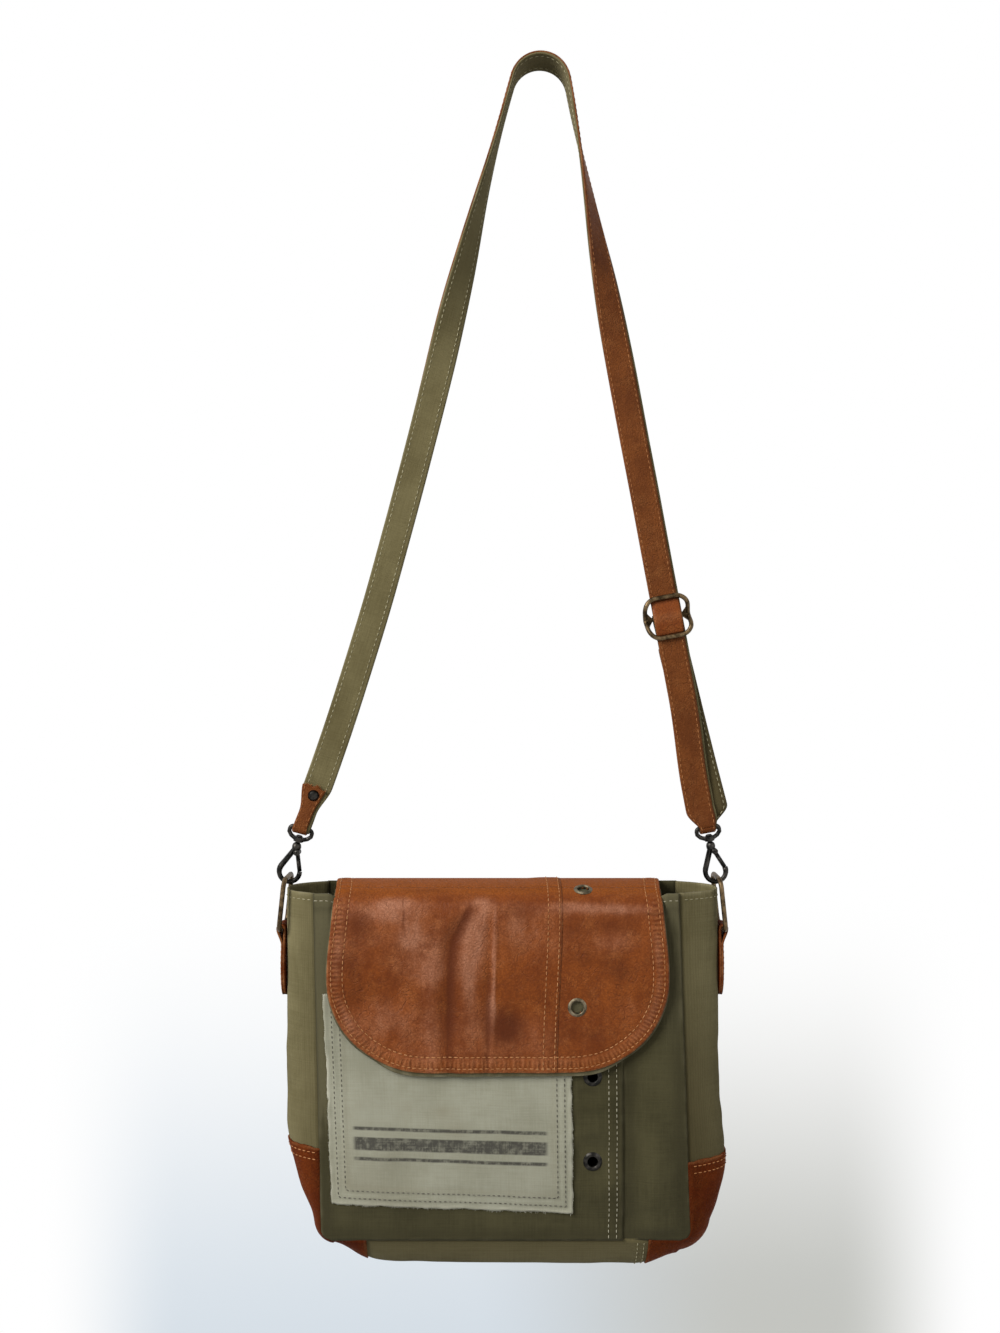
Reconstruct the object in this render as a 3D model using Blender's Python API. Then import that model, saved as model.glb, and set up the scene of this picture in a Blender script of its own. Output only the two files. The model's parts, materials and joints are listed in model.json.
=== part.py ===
"""Messenger bag that hangs by its shoulder strap.

Metres, +Z up. The origin is the underside of the strap where it hangs, the front faces -Y.
Canvas body with a folded gusset, two-piece leather flap, wire rings in leather tabs,
two swivel clips with sprung gates, and a two-ply strap with a three-bar slider.
"""

import math

import bpy
import bmesh
from mathutils import Matrix, Vector

for old in list(bpy.data.objects):
    bpy.data.objects.remove(old, do_unlink=True)

# Clearances
SEAT_GAP = 0.0003
RUN_GAP = 0.0003

# Bag body
BAG_CENTRE_X = -0.028
RIM_Z = -0.612
PANEL_WIDTH = 0.266
PANEL_HEIGHT = 0.250
PANEL_CORNER_RADIUS = 0.008
BAG_DEPTH = 0.044
CANVAS_THICK = 0.0012
FRONT_SEAM_X = 0.086
FRONT_LAP = 0.011

# Gusset, a strip folded outwards along its middle
SIDE_BULGE = 0.0245
BOTTOM_BULGE = 0.0265
CORNER_BULGE = 0.0030
SIDE_TAPER = 0.056
BOTTOM_TAPER = 0.040
RIM_DIP = 0.0030
RIM_DIP_DEPTH = 0.018

# Leather corner patches
CORNER_LEATHER_THICK = 0.0012
CORNER_UP = 0.052
CORNER_IN = 0.032

# Canvas patch on the front
PATCH_LEFT_X = -0.126
PATCH_RIGHT_X = 0.050
PATCH_TOP_DROP = 0.073
PATCH_BOTTOM_DROP = 0.227
PATCH_THICK = 0.0008

# Flap
FLAP_TOP_HALF = 0.118
FLAP_MID_HALF = 0.122
FLAP_DROP = 0.130
FLAP_CORNER_WIDTH = 0.070
FLAP_CORNER_HEIGHT = 0.062
FLAP_LEATHER_THICK = 0.0014
FLAP_LINING_THICK = 0.0008
FLAP_SEAM_X = 0.046
FLAP_LAP = 0.012
FLAP_ROLL_RADIUS = 0.0040
FLAP_FRONT_STANDOFF = 0.0030
FLAP_LIFT = 0.0005
FLAP_STRIP_HEIGHT = 0.045
FLAP_STRIP_THICK = 0.0014

# Eyelets
EYELET_BARREL_RADIUS = 0.0042
EYELET_HOLE_RADIUS = 0.0034
EYELET_FLANGE_RADIUS = 0.0067
EYELET_FLANGE_THICK = 0.0009
WASHER_THICK = 0.0006
FRONT_EYELET_X = 0.065
FRONT_EYELET_DROPS = {"upper": 0.132, "lower": 0.193}
FLAP_EYELET_X = 0.056
FLAP_TOP_EYELET_REACH = 0.036
FLAP_FRONT_EYELET_DROP = 0.080

# Side rings and their leather tabs
RING_INNER_WIDTH = 0.025
RING_INNER_HEIGHT = 0.034
RING_WIRE_RADIUS = 0.00175
RING_CORNER_RADIUS = 0.006
RING_LEAN = math.radians(6.0)
TAB_THICK = 0.0015
TAB_WIDTH = 0.020
TAB_LENGTH = 0.050
TAB_PINCH = 0.012
TAB_WIDEST = 0.5

# Swivel clips
HOOK_BEND_Z = -0.608
HOOK_WIRE_RADIUS = 0.0016
HOOK_PLAY = 0.0005
HOOK_BEND_RADIUS = 0.0076
HOOK_NECK_HEIGHT = 0.0195
HOOK_BALL_RADIUS = 0.0034
SWIVEL_POST_RADIUS = 0.0015
SWIVEL_HEAD_RADIUS = 0.0027
SWIVEL_HEAD_TOP_RADIUS = 0.0019
SWIVEL_HEAD_THICK = 0.0010
COLLAR_RADIUS = 0.0036
COLLAR_HEIGHT = 0.0034
EYE_BAR_RADIUS = 0.0016
EYE_BAR_HEIGHT = 0.0335
EYE_INNER_WIDTH = 0.0136
EYE_CORNER_RADIUS = 0.0026
EYE_SHOULDER_IN = 0.0021
EYE_SHOULDER_DROP = 0.0024
GATE_RADIUS = 0.0014
GATE_PIN_RADIUS = 0.0006
GATE_KNUCKLE_RADIUS = 0.0019
GATE_KNUCKLE_WIDTH = 0.0024
GATE_KNUCKLE_SET = 0.0011
GATE_TIP_GAP = 0.0009
EAR_WALL = 0.0012
NOSE_ANGLE = math.radians(12.0)

# Strap
HANG_RADIUS = 0.020
STRAP_WIDTH = 0.0215
STRAP_END_WIDTH = 0.0124
STRAP_CANVAS_THICK = 0.0010
STRAP_LEATHER_THICK = 0.0013
STRAP_PINCH = 0.018
STRAP_NARROW_START = 0.012
STRAP_NARROW_END = 0.034
TAIL_LENGTH = 0.036
LEFT_SAG = 0.0078
TWIST_LEFT = (0.020, 0.270)
TWIST_RIGHT = (0.000, 0.240)
RETURN_START = 0.024
RIVET_HEIGHT = 0.026
RIVET_POST_RADIUS = 0.0012
RIVET_CAP_RADIUS = 0.0042
RIVET_CAP_TOP_RADIUS = 0.0025
RIVET_CAP_THICK = 0.0010

# Slider on the right run
SLIDER_DISTANCE = 0.1585
SLIDER_INNER_WIDTH = 0.0288
SLIDER_HEIGHT = 0.0262
SLIDER_WIRE_RADIUS = 0.0017
SLIDER_CORNER_RADIUS = 0.0090
LOOP_SEWN_LENGTH = 0.016
LOOP_CLOSE_LENGTH = 0.0112
LOOP_FREE_LENGTH = 0.006

# Facets
TUBE_SIDES = 10
WIRE_CORNER_STEPS = 5
TURN_STEPS = 16
HOOK_STEPS = 16
BALL_STEPS = 6
FOLD_STEPS = 8
TAB_STEPS = 12
TAIL_STEPS = 6
RUN_STEPS = 6
NARROW_STEPS = 6
TWIST_STEPS = 18
HANG_STEPS = 14
RETURN_STEPS = 4
LOOP_STEPS = 5
FLAP_ROLL_STEPS = 6
FLAP_STRAIGHT_STEPS = 4
FLAP_CORNER_STEPS = 12
GUSSET_COLUMNS = 10
TAPER_ROWS = 7
ARC_ROWS = 5

X_AXIS = Vector((1.0, 0.0, 0.0))
Y_AXIS = Vector((0.0, 1.0, 0.0))
Z_AXIS = Vector((0.0, 0.0, 1.0))

HALF_PANEL = PANEL_WIDTH / 2
HALF_DEPTH = BAG_DEPTH / 2
PANEL_BOTTOM_Z = RIM_Z - PANEL_HEIGHT
RIDGE_X = HALF_PANEL + SEAT_GAP + SIDE_BULGE + CANVAS_THICK
RING_X = RIDGE_X + SEAT_GAP + TAB_THICK + RUN_GAP + RING_WIRE_RADIUS
HOOK_SEAT = HOOK_WIRE_RADIUS + HOOK_PLAY + RING_WIRE_RADIUS
RING_BAR_Z = HOOK_BEND_Z + HOOK_SEAT
RING_REACH = RING_INNER_HEIGHT + 2 * RING_WIRE_RADIUS
RING_FOOT_Z = RING_BAR_Z - RING_REACH * math.cos(RING_LEAN)
HOOK_X = RING_X - RING_REACH * math.sin(RING_LEAN)
STRAP_THICK = STRAP_CANVAS_THICK + SEAT_GAP + STRAP_LEATHER_THICK
CANVAS_PLY = (0.0, STRAP_CANVAS_THICK)
LEATHER_PLY = (STRAP_CANVAS_THICK + SEAT_GAP, STRAP_THICK)


# Materials

def material(name, colour, roughness, metallic=0.0):
    """A plain Principled finish for one kind of piece."""
    mat = bpy.data.materials.get(name)
    if mat is None:
        mat = bpy.data.materials.new(name)
        mat.use_nodes = True
        shader = mat.node_tree.nodes["Principled BSDF"]
        shader.inputs["Base Color"].default_value = (*colour, 1.0)
        shader.inputs["Roughness"].default_value = roughness
        shader.inputs["Metallic"].default_value = metallic
    return mat


CANVAS_OLIVE = ("olive_canvas", (0.135, 0.125, 0.075), 0.9)
CANVAS_LIGHT = ("light_olive_canvas", (0.230, 0.205, 0.125), 0.9)
CANVAS_PATCH = ("patch_canvas", (0.420, 0.400, 0.310), 0.9)
LINING_CLOTH = ("lining_cloth", (0.200, 0.150, 0.070), 0.9)
LEATHER_TAN = ("tan_leather", (0.300, 0.075, 0.022), 0.45)
LEATHER_DARK = ("dark_leather", (0.200, 0.048, 0.018), 0.5)
BRASS_OLD = ("antique_brass", (0.230, 0.170, 0.100), 0.4, 1.0)
METAL_BLACK = ("black_metal", (0.020, 0.018, 0.016), 0.35, 1.0)


# Mesh building

def finish(name, mesh_data, finish_of, place=None, smooth_angle=35.0):
    """Turn a bmesh into a named object with its finish."""
    bmesh.ops.recalc_face_normals(mesh_data, faces=mesh_data.faces)
    bmesh.ops.triangulate(mesh_data, faces=mesh_data.faces)
    mesh = bpy.data.meshes.new(name)
    mesh_data.to_mesh(mesh)
    mesh_data.free()
    mesh.shade_smooth()
    mesh.set_sharp_from_angle(angle=math.radians(smooth_angle))
    mesh.materials.append(material(*finish_of))
    obj = bpy.data.objects.new(name, mesh)
    bpy.context.scene.collection.objects.link(obj)
    if place is not None:
        obj.matrix_world = place
    return obj


def shell(name, inner, outer, finish_of):
    """Closed wall between two grids of points with the same rows and columns."""
    work = bmesh.new()
    rows = len(inner)
    columns = len(inner[0])
    low = [[work.verts.new(point) for point in row] for row in inner]
    high = [[work.verts.new(point) for point in row] for row in outer]

    def quad(a, b, c, d):
        work.faces.new((a, b, c))
        work.faces.new((a, c, d))

    for i in range(rows - 1):
        for j in range(columns - 1):
            quad(low[i][j], low[i][j + 1], low[i + 1][j + 1], low[i + 1][j])
            quad(high[i][j], high[i][j + 1], high[i + 1][j + 1], high[i + 1][j])
    for i in range(rows - 1):
        for j in (0, columns - 1):
            quad(low[i][j], low[i + 1][j], high[i + 1][j], high[i][j])
    for j in range(columns - 1):
        for i in (0, rows - 1):
            quad(low[i][j], low[i][j + 1], high[i][j + 1], high[i][j])
    return finish(name, work, finish_of)


def band(name, stations, ply, finish_of):
    """Flat strip along stations of (point, normal, edge a, edge b), between two depths."""
    grids = []
    for depth in ply:
        grids.append([[point + normal * depth + edge_a, point + normal * depth + edge_b]
                      for point, normal, edge_a, edge_b in stations])
    return shell(name, grids[0], grids[1], finish_of)


def tube(name, path, radius, plane_normal, finish_of, closed=False, place=None, sides=TUBE_SIDES):
    """Round wire along a path that lies near one plane."""
    work = bmesh.new()
    count = len(path)
    rings = []
    for i, point in enumerate(path):
        before = path[i - 1] if closed or i > 0 else point
        after = path[(i + 1) % count] if closed or i < count - 1 else point
        along = (after - before).normalized()
        side = (plane_normal - along * plane_normal.dot(along)).normalized()
        other = along.cross(side)
        ring = []
        for k in range(sides):
            turn = 2 * math.pi * (k + 0.5) / sides
            reach = side * math.cos(turn) + other * math.sin(turn)
            ring.append(work.verts.new(point + reach * radius))
        rings.append(ring)
    for i in range(count if closed else count - 1):
        here = rings[i]
        there = rings[(i + 1) % count]
        for k in range(sides):
            work.faces.new((here[k], here[(k + 1) % sides], there[(k + 1) % sides], there[k]))
    if not closed:
        work.faces.new(rings[0])
        work.faces.new(rings[-1])
    return finish(name, work, finish_of, place)


def turned(name, profile, finish_of, place, steps=TURN_STEPS):
    """Turn a closed outline of (radius, height) points round the local Z axis."""
    work = bmesh.new()
    rings = []
    for radius, height in profile:
        if radius == 0.0:
            rings.append([work.verts.new((0.0, 0.0, height))])
            continue
        ring = []
        for k in range(steps):
            turn = 2 * math.pi * k / steps
            ring.append(work.verts.new((radius * math.cos(turn), radius * math.sin(turn), height)))
        rings.append(ring)
    open_ended = len(rings[0]) == 1
    for i in range(len(rings) - 1 if open_ended else len(rings)):
        here = rings[i]
        there = rings[(i + 1) % len(rings)]
        for k in range(steps):
            after = (k + 1) % steps
            corners = [here[k % len(here)], here[after % len(here)],
                       there[after % len(there)], there[k % len(there)]]
            unique = list(dict.fromkeys(corners))
            work.faces.new(unique)
    return finish(name, work, finish_of, place)


def cutter(obj):
    """Keep an object as a tool that is not part of the bag."""
    obj.hide_render = True
    obj.display_type = "WIRE"
    return obj


def boolean(obj, tool, operation):
    """Join a tool shape to a piece or cut it out of it."""
    step = obj.modifiers.new(tool.name, "BOOLEAN")
    step.operation = operation
    step.solver = "EXACT"
    step.object = cutter(tool)


def rod_along(name, start, end, radius, finish_of, steps=TURN_STEPS):
    """Plain round rod between two points."""
    axis = end - start
    place = Matrix.Translation(start) @ axis.to_track_quat("Z", "Y").to_matrix().to_4x4()
    length = axis.length
    profile = [(0.0, 0.0), (radius, 0.0), (radius, length), (0.0, length)]
    return turned(name, profile, finish_of, place, steps)


def joint_empty(name, position, pieces):
    """Parent the pieces of one moving body to an empty on its joint axis."""
    pivot = bpy.data.objects.new(name, None)
    pivot.location = position
    bpy.context.scene.collection.objects.link(pivot)
    bpy.context.view_layer.update()
    for piece in pieces:
        piece.parent = pivot
        piece.matrix_parent_inverse = pivot.matrix_world.inverted()
    return pivot


def smooth(value, low, high):
    """Ease from 0 at low to 1 at high."""
    share = min(max((value - low) / (high - low), 0.0), 1.0)
    return share * share * (3.0 - 2.0 * share)


def bag_point(x, y, z):
    """World place of a point given from the bag's centre line."""
    return Vector((BAG_CENTRE_X + x, y, z))


# Panels

def panel(name, left, right, outer_y, inner_y, finish_of, round_left, round_right):
    """Upright canvas panel whose bottom corners may be rounded."""
    steps = WIRE_CORNER_STEPS
    radius = PANEL_CORNER_RADIUS
    outline = [(left, RIM_Z)]
    if round_left:
        for k in range(steps + 1):
            turn = math.pi + math.pi / 2 * k / steps
            outline.append((left + radius + radius * math.cos(turn),
                            PANEL_BOTTOM_Z + radius + radius * math.sin(turn)))
    else:
        outline.append((left, PANEL_BOTTOM_Z))
    if round_right:
        for k in range(steps + 1):
            turn = math.pi * 1.5 + math.pi / 2 * k / steps
            outline.append((right - radius + radius * math.cos(turn),
                            PANEL_BOTTOM_Z + radius + radius * math.sin(turn)))
    else:
        outline.append((right, PANEL_BOTTOM_Z))
    outline.append((right, RIM_Z))
    return plate(name, outline, outer_y, inner_y, finish_of)


def plate(name, outline, outer_y, inner_y, finish_of):
    """Extrude an outline of (x, z) points through a thickness in Y."""
    work = bmesh.new()
    front = work.faces.new([work.verts.new(bag_point(x, outer_y, z)) for x, z in outline])
    grown = bmesh.ops.extrude_face_region(work, geom=[front], use_keep_orig=True)
    moved = [item for item in grown["geom"] if isinstance(item, bmesh.types.BMVert)]
    bmesh.ops.translate(work, verts=moved, vec=(0.0, inner_y - outer_y, 0.0))
    return finish(name, work, finish_of)


def eyelet(name, centre, outward, wall, finish_of):
    """Flanged ring whose barrel passes through a wall of the given thickness."""
    place = Matrix.Translation(centre) @ outward.to_track_quat("Z", "Y").to_matrix().to_4x4()
    top = SEAT_GAP + EYELET_FLANGE_THICK
    foot = -(wall + SEAT_GAP + WASHER_THICK)
    lip = EYELET_FLANGE_THICK / 2
    profile = [(EYELET_HOLE_RADIUS, foot), (EYELET_BARREL_RADIUS, foot),
               (EYELET_BARREL_RADIUS, SEAT_GAP), (EYELET_FLANGE_RADIUS, SEAT_GAP),
               (EYELET_FLANGE_RADIUS, SEAT_GAP + lip), (EYELET_FLANGE_RADIUS - lip, top),
               (EYELET_BARREL_RADIUS, top), (EYELET_HOLE_RADIUS, SEAT_GAP)]
    return turned(name, profile, finish_of, place)


def washer(name, centre, outward, wall, finish_of):
    """Flat ring that closes an eyelet on the back of its wall."""
    place = Matrix.Translation(centre) @ outward.to_track_quat("Z", "Y").to_matrix().to_4x4()
    near = -(wall + SEAT_GAP)
    far = near - WASHER_THICK
    bore = EYELET_BARREL_RADIUS + SEAT_GAP
    profile = [(bore, far), (EYELET_FLANGE_RADIUS, far), (EYELET_FLANGE_RADIUS, near), (bore, near)]
    return turned(name, profile, finish_of, place)


def eyelet_hole(name, centre, outward, depth):
    """Tool that cuts the hole for one eyelet."""
    start = centre + outward * depth
    end = centre - outward * depth
    return rod_along(name, start, end, EYELET_BARREL_RADIUS + SEAT_GAP, BRASS_OLD)


# Bag body

def build_panels():
    """Front in two lapped pieces, the patch on it, and the back with the flap's strip."""
    front = -HALF_DEPTH
    under = front + CANVAS_THICK + SEAT_GAP
    left = panel("front_panel_left", -HALF_PANEL, FRONT_SEAM_X, front, front + CANVAS_THICK,
                 CANVAS_OLIVE, True, False)
    right = panel("front_panel_right", FRONT_SEAM_X - FRONT_LAP, HALF_PANEL, under, under + CANVAS_THICK,
                  CANVAS_OLIVE, False, True)
    back = panel("back_panel", -HALF_PANEL, HALF_PANEL, HALF_DEPTH, HALF_DEPTH - CANVAS_THICK,
                 CANVAS_OLIVE, True, True)
    top = RIM_Z - PATCH_TOP_DROP
    bottom = RIM_Z - PATCH_BOTTOM_DROP
    patch_face = front - SEAT_GAP
    patch = plate("front_patch", [(PATCH_LEFT_X, top), (PATCH_LEFT_X, bottom),
                                  (PATCH_RIGHT_X, bottom), (PATCH_RIGHT_X, top)],
                  patch_face - PATCH_THICK, patch_face, CANVAS_PATCH)
    strip_top = RIM_Z - SEAT_GAP
    strip_foot = strip_top - FLAP_STRIP_HEIGHT
    strip_face = HALF_DEPTH + SEAT_GAP
    strip = plate("flap_back_strip", [(-FLAP_TOP_HALF, strip_top), (-FLAP_TOP_HALF, strip_foot),
                                      (FLAP_TOP_HALF, strip_foot), (FLAP_TOP_HALF, strip_top)],
                  strip_face + FLAP_STRIP_THICK, strip_face, LEATHER_TAN)
    pieces = [left, right, back, patch, strip]
    for place, drop in FRONT_EYELET_DROPS.items():
        centre = bag_point(FRONT_EYELET_X, front, RIM_Z - drop)
        pieces.append(eyelet("front_eyelet_" + place, centre, -Y_AXIS, CANVAS_THICK, METAL_BLACK))
        pieces.append(washer("front_washer_" + place, centre, -Y_AXIS, CANVAS_THICK, METAL_BLACK))
        boolean(left, eyelet_hole("front_hole_" + place, centre, -Y_AXIS, CANVAS_THICK * 2), "DIFFERENCE")
    return pieces


SIDE_LENGTH = PANEL_HEIGHT - PANEL_CORNER_RADIUS
ARC_LENGTH = PANEL_CORNER_RADIUS * math.pi / 2
CORNER_S = SIDE_LENGTH + ARC_LENGTH / 2
MIDDLE_S = SIDE_LENGTH + ARC_LENGTH + HALF_PANEL - PANEL_CORNER_RADIUS
GUSSET_POWER = 3.0


def edge_place(s):
    """Point (x, z) on the panel's left edge and its outward direction, s from the rim down."""
    radius = PANEL_CORNER_RADIUS
    if s <= SIDE_LENGTH:
        return (-HALF_PANEL, RIM_Z - s), (-1.0, 0.0)
    if s <= SIDE_LENGTH + ARC_LENGTH:
        turn = (s - SIDE_LENGTH) / radius
        outward = (-math.cos(turn), -math.sin(turn))
        centre = (-HALF_PANEL + radius, PANEL_BOTTOM_Z + radius)
        return (centre[0] + radius * outward[0], centre[1] + radius * outward[1]), outward
    along = s - SIDE_LENGTH - ARC_LENGTH
    return (-HALF_PANEL + radius + along, PANEL_BOTTOM_Z), (0.0, -1.0)


def bulge_at(s):
    """How far the gusset stands out at its fold."""
    away = abs(s - CORNER_S)
    if s < CORNER_S:
        return CORNER_BULGE + (SIDE_BULGE - CORNER_BULGE) * smooth(away, 0.0, SIDE_TAPER)
    return CORNER_BULGE + (BOTTOM_BULGE - CORNER_BULGE) * smooth(away, 0.0, BOTTOM_TAPER)


def gusset_point(s, q, depth):
    """Point of the folded strip, q across it from -1 to 1, depth outwards from its inner face."""
    (x, z), (out_x, out_z) = edge_place(s)
    half = HALF_DEPTH - CANVAS_THICK
    bulge = bulge_at(s)
    out = SEAT_GAP + bulge * (1.0 - abs(q) ** GUSSET_POWER)
    slope = GUSSET_POWER * bulge * q * abs(q) ** (GUSSET_POWER - 2.0) / half
    size = math.hypot(1.0, slope)
    out += depth / size
    y = q * half + depth * slope / size
    dip = RIM_DIP * (1.0 - abs(q) ** GUSSET_POWER) if s == 0.0 else 0.0
    return bag_point(x + out_x * out, y, z + out_z * out - dip)


def gusset_rows(start, end):
    """Rows of the strip between two places, close together where its bulge tapers."""
    rows = {start, end, RIM_DIP_DEPTH, CORNER_S - CORNER_UP, CORNER_S + CORNER_IN, MIDDLE_S,
            CORNER_S - SEAT_GAP / 2, CORNER_S + SEAT_GAP / 2}
    for k in range(ARC_ROWS + 1):
        rows.add(SIDE_LENGTH + ARC_LENGTH * k / ARC_ROWS)
    for k in range(2, TAPER_ROWS + 1):
        rows.add(CORNER_S - SIDE_TAPER * k / TAPER_ROWS)
        rows.add(CORNER_S + BOTTOM_TAPER * k / TAPER_ROWS)
    return sorted(s for s in rows if start <= s <= end)


def strip_grid(rows, depth):
    """Grid of points of the strip at one depth."""
    places = [2.0 * j / GUSSET_COLUMNS - 1.0 for j in range(GUSSET_COLUMNS + 1)]
    return [[gusset_point(s, q, depth) for q in places] for s in rows]


def mirrored(grid):
    """The same grid on the bag's other side, with its rows in the other order."""
    return [[Vector((2 * BAG_CENTRE_X - p.x, p.y, p.z)) for p in row] for row in reversed(grid)]


def build_gusset():
    """Two side strips, the bottom strip and a leather patch over each lower corner."""
    canvas = (0.0, CANVAS_THICK)
    leather = (CANVAS_THICK + SEAT_GAP, CANVAS_THICK + SEAT_GAP + CORNER_LEATHER_THICK)
    side_rows = gusset_rows(0.0, CORNER_S - SEAT_GAP / 2)
    bottom_rows = gusset_rows(CORNER_S + SEAT_GAP / 2, MIDDLE_S)
    corner_rows = gusset_rows(CORNER_S - CORNER_UP, CORNER_S + CORNER_IN)
    side = [strip_grid(side_rows, depth) for depth in canvas]
    corner = [strip_grid(corner_rows, depth) for depth in leather]
    bottom = []
    for depth in canvas:
        half = strip_grid(bottom_rows, depth)
        bottom.append(half + mirrored(half)[1:])
    return [shell("gusset_left", side[0], side[1], CANVAS_LIGHT),
            shell("gusset_right", mirrored(side[0]), mirrored(side[1]), CANVAS_LIGHT),
            shell("gusset_bottom", bottom[0], bottom[1], CANVAS_LIGHT),
            shell("corner_left", corner[0], corner[1], LEATHER_DARK),
            shell("corner_right", mirrored(corner[0]), mirrored(corner[1]), LEATHER_DARK)]


# Rings and their tabs

def rounded_loop(half_width, half_height, radius, steps=WIRE_CORNER_STEPS):
    """Points (across, up) of a rounded rectangle, counter-clockwise from the right."""
    points = []
    for k, (sign_a, sign_v) in enumerate(((1, -1), (1, 1), (-1, 1), (-1, -1))):
        for step in range(steps + 1):
            turn = math.pi / 2 * (k - 1 + step / steps)
            points.append((sign_a * (half_width - radius) + radius * math.cos(turn),
                           sign_v * (half_height - radius) + radius * math.sin(turn)))
    return points


def build_ring(name, side):
    """Wire ring that leans inwards, its lower bar in the tab and its upper bar on the hook."""
    half_width = RING_INNER_WIDTH / 2 + RING_WIRE_RADIUS
    half_height = RING_REACH / 2
    foot = bag_point(side * RING_X, 0.0, RING_FOOT_Z)
    up = Vector((-side * math.sin(RING_LEAN), 0.0, math.cos(RING_LEAN)))
    path = [foot + Y_AXIS * y + up * (half_height + v)
            for y, v in rounded_loop(half_width, half_height, RING_CORNER_RADIUS)]
    return tube(name, path, RING_WIRE_RADIUS, up.cross(Y_AXIS), BRASS_OLD, closed=True)


def tab_half_width(share):
    """Half width of the leaf-shaped tab, from its neck at the ring to its tip."""
    straight = RING_INNER_WIDTH / 2 + RING_WIRE_RADIUS - RING_CORNER_RADIUS
    neck = straight - SEAT_GAP
    if share <= TAB_WIDEST:
        return neck + (TAB_WIDTH / 2 - neck) * smooth(share, 0.0, TAB_WIDEST)
    fall = (share - TAB_WIDEST) / (1.0 - TAB_WIDEST)
    return max(TAB_WIDTH / 2 * math.sqrt(1.0 - fall * fall), TAB_THICK)


def build_tab(name, side):
    """Leather leaf folded round the ring's lower bar and sewn down the gusset's fold."""
    radius = RING_WIRE_RADIUS + RUN_GAP
    shares = [math.sin(math.pi / 2 * k / TAB_STEPS) for k in range(TAB_STEPS, -1, -1)]
    outward = X_AXIS * side
    stations = []

    def add(x, z, normal, share):
        edge = Y_AXIS * tab_half_width(share)
        stations.append((bag_point(side * x, 0.0, z), normal, -edge, edge))

    for share in shares:
        add(RING_X - radius, RING_FOOT_Z - TAB_LENGTH * share, -outward, share)
    for k in range(1, FOLD_STEPS):
        turn = math.pi * (1.0 - k / FOLD_STEPS)
        normal = outward * math.cos(turn) + Z_AXIS * math.sin(turn)
        add(RING_X + radius * math.cos(turn), RING_FOOT_Z + radius * math.sin(turn), normal, 0.0)
    for share in reversed(shares):
        drop = TAB_LENGTH * share
        pinch = (2 * radius - SEAT_GAP) * smooth(drop, 0.0, TAB_PINCH)
        add(RING_X + radius - pinch, RING_FOOT_Z - drop, outward, share)
    return band(name, stations, (0.0, TAB_THICK), LEATHER_DARK)


# Swivel clips

def run_frame(side):
    """Up and outward directions of one strap run, its clip's bend centre and its upper end."""
    bar = bag_point(side * HOOK_X, 0.0, RING_BAR_Z)
    hang = Vector((0.0, 0.0, -HANG_RADIUS))
    to_hang = hang - bar
    lean = math.asin(HANG_RADIUS / to_hang.length) * side
    up = Matrix.Rotation(lean, 3, "Y") @ to_hang.normalized()
    bend = bar + up * (HOOK_BEND_RADIUS - HOOK_SEAT)
    outward = Vector((up.z, 0.0, -up.x)) * side
    return {"up": up, "across": Vector((up.z, 0.0, -up.x)), "outward": outward, "side": side, "loose": -side,
            "bend": bend, "top": hang + outward * HANG_RADIUS, "eye": bend + up * EYE_BAR_HEIGHT}


def clip_place(run):
    """Matrix of a clip: across, depth and up directions from its hook's bend centre."""
    place = Matrix.Identity(4)
    for k, axis in enumerate((run["across"], Y_AXIS, run["up"], run["bend"])):
        for row in range(3):
            place[row][k] = axis[row]
    return place


COLLAR_FOOT = HOOK_NECK_HEIGHT + HOOK_BALL_RADIUS + RUN_GAP
COLLAR_TOP = COLLAR_FOOT + COLLAR_HEIGHT
HEAD_FOOT = COLLAR_TOP + RUN_GAP
EAR_WIDTH = GATE_KNUCKLE_WIDTH + 2 * (RUN_GAP + EAR_WALL)
FLANK_ANGLE = math.asin(HOOK_BEND_RADIUS / HOOK_NECK_HEIGHT)
GATE_PIN_DROP = HOOK_BALL_RADIUS + GATE_KNUCKLE_SET
GATE_PIN = Vector((GATE_PIN_DROP * math.sin(FLANK_ANGLE), 0.0,
                   HOOK_NECK_HEIGHT - GATE_PIN_DROP * math.cos(FLANK_ANGLE)))


def local_rod(name, centre, half_length, radius, place, finish_of):
    """Round rod across a clip, along its depth."""
    start = place @ (centre - Y_AXIS * half_length)
    end = place @ (centre + Y_AXIS * half_length)
    return rod_along(name, start, end, radius, finish_of)


def build_eye(name, place):
    """D-shaped strap eye with the collar that the hook's post turns in."""
    half = EYE_INNER_WIDTH / 2 + EYE_BAR_RADIUS
    corner = EYE_CORNER_RADIUS
    shoulder = EYE_BAR_HEIGHT - EYE_BAR_RADIUS - RUN_GAP - STRAP_THICK
    collar_mid = (COLLAR_FOOT + COLLAR_TOP) / 2
    inset = (SWIVEL_POST_RADIUS + RUN_GAP + COLLAR_RADIUS) / 2
    right = [(inset, collar_mid), (half - EYE_SHOULDER_IN, shoulder - EYE_SHOULDER_DROP), (half, shoulder)]
    for k in range(WIRE_CORNER_STEPS):
        turn = math.pi / 2 * k / (WIRE_CORNER_STEPS - 1)
        right.append((half - corner + corner * math.cos(turn),
                      EYE_BAR_HEIGHT - corner + corner * math.sin(turn)))
    outline = right + [(-a, v) for a, v in reversed(right)]
    path = [Vector((a, 0.0, v)) for a, v in outline]
    eye = tube(name, path, EYE_BAR_RADIUS, Y_AXIS, METAL_BLACK, place=place)
    bore = SWIVEL_POST_RADIUS + RUN_GAP
    profile = [(bore, COLLAR_FOOT), (COLLAR_RADIUS, COLLAR_FOOT),
               (COLLAR_RADIUS, COLLAR_TOP), (bore, COLLAR_TOP)]
    boolean(eye, turned(name + "_collar", profile, METAL_BLACK, place), "UNION")
    return eye


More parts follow.
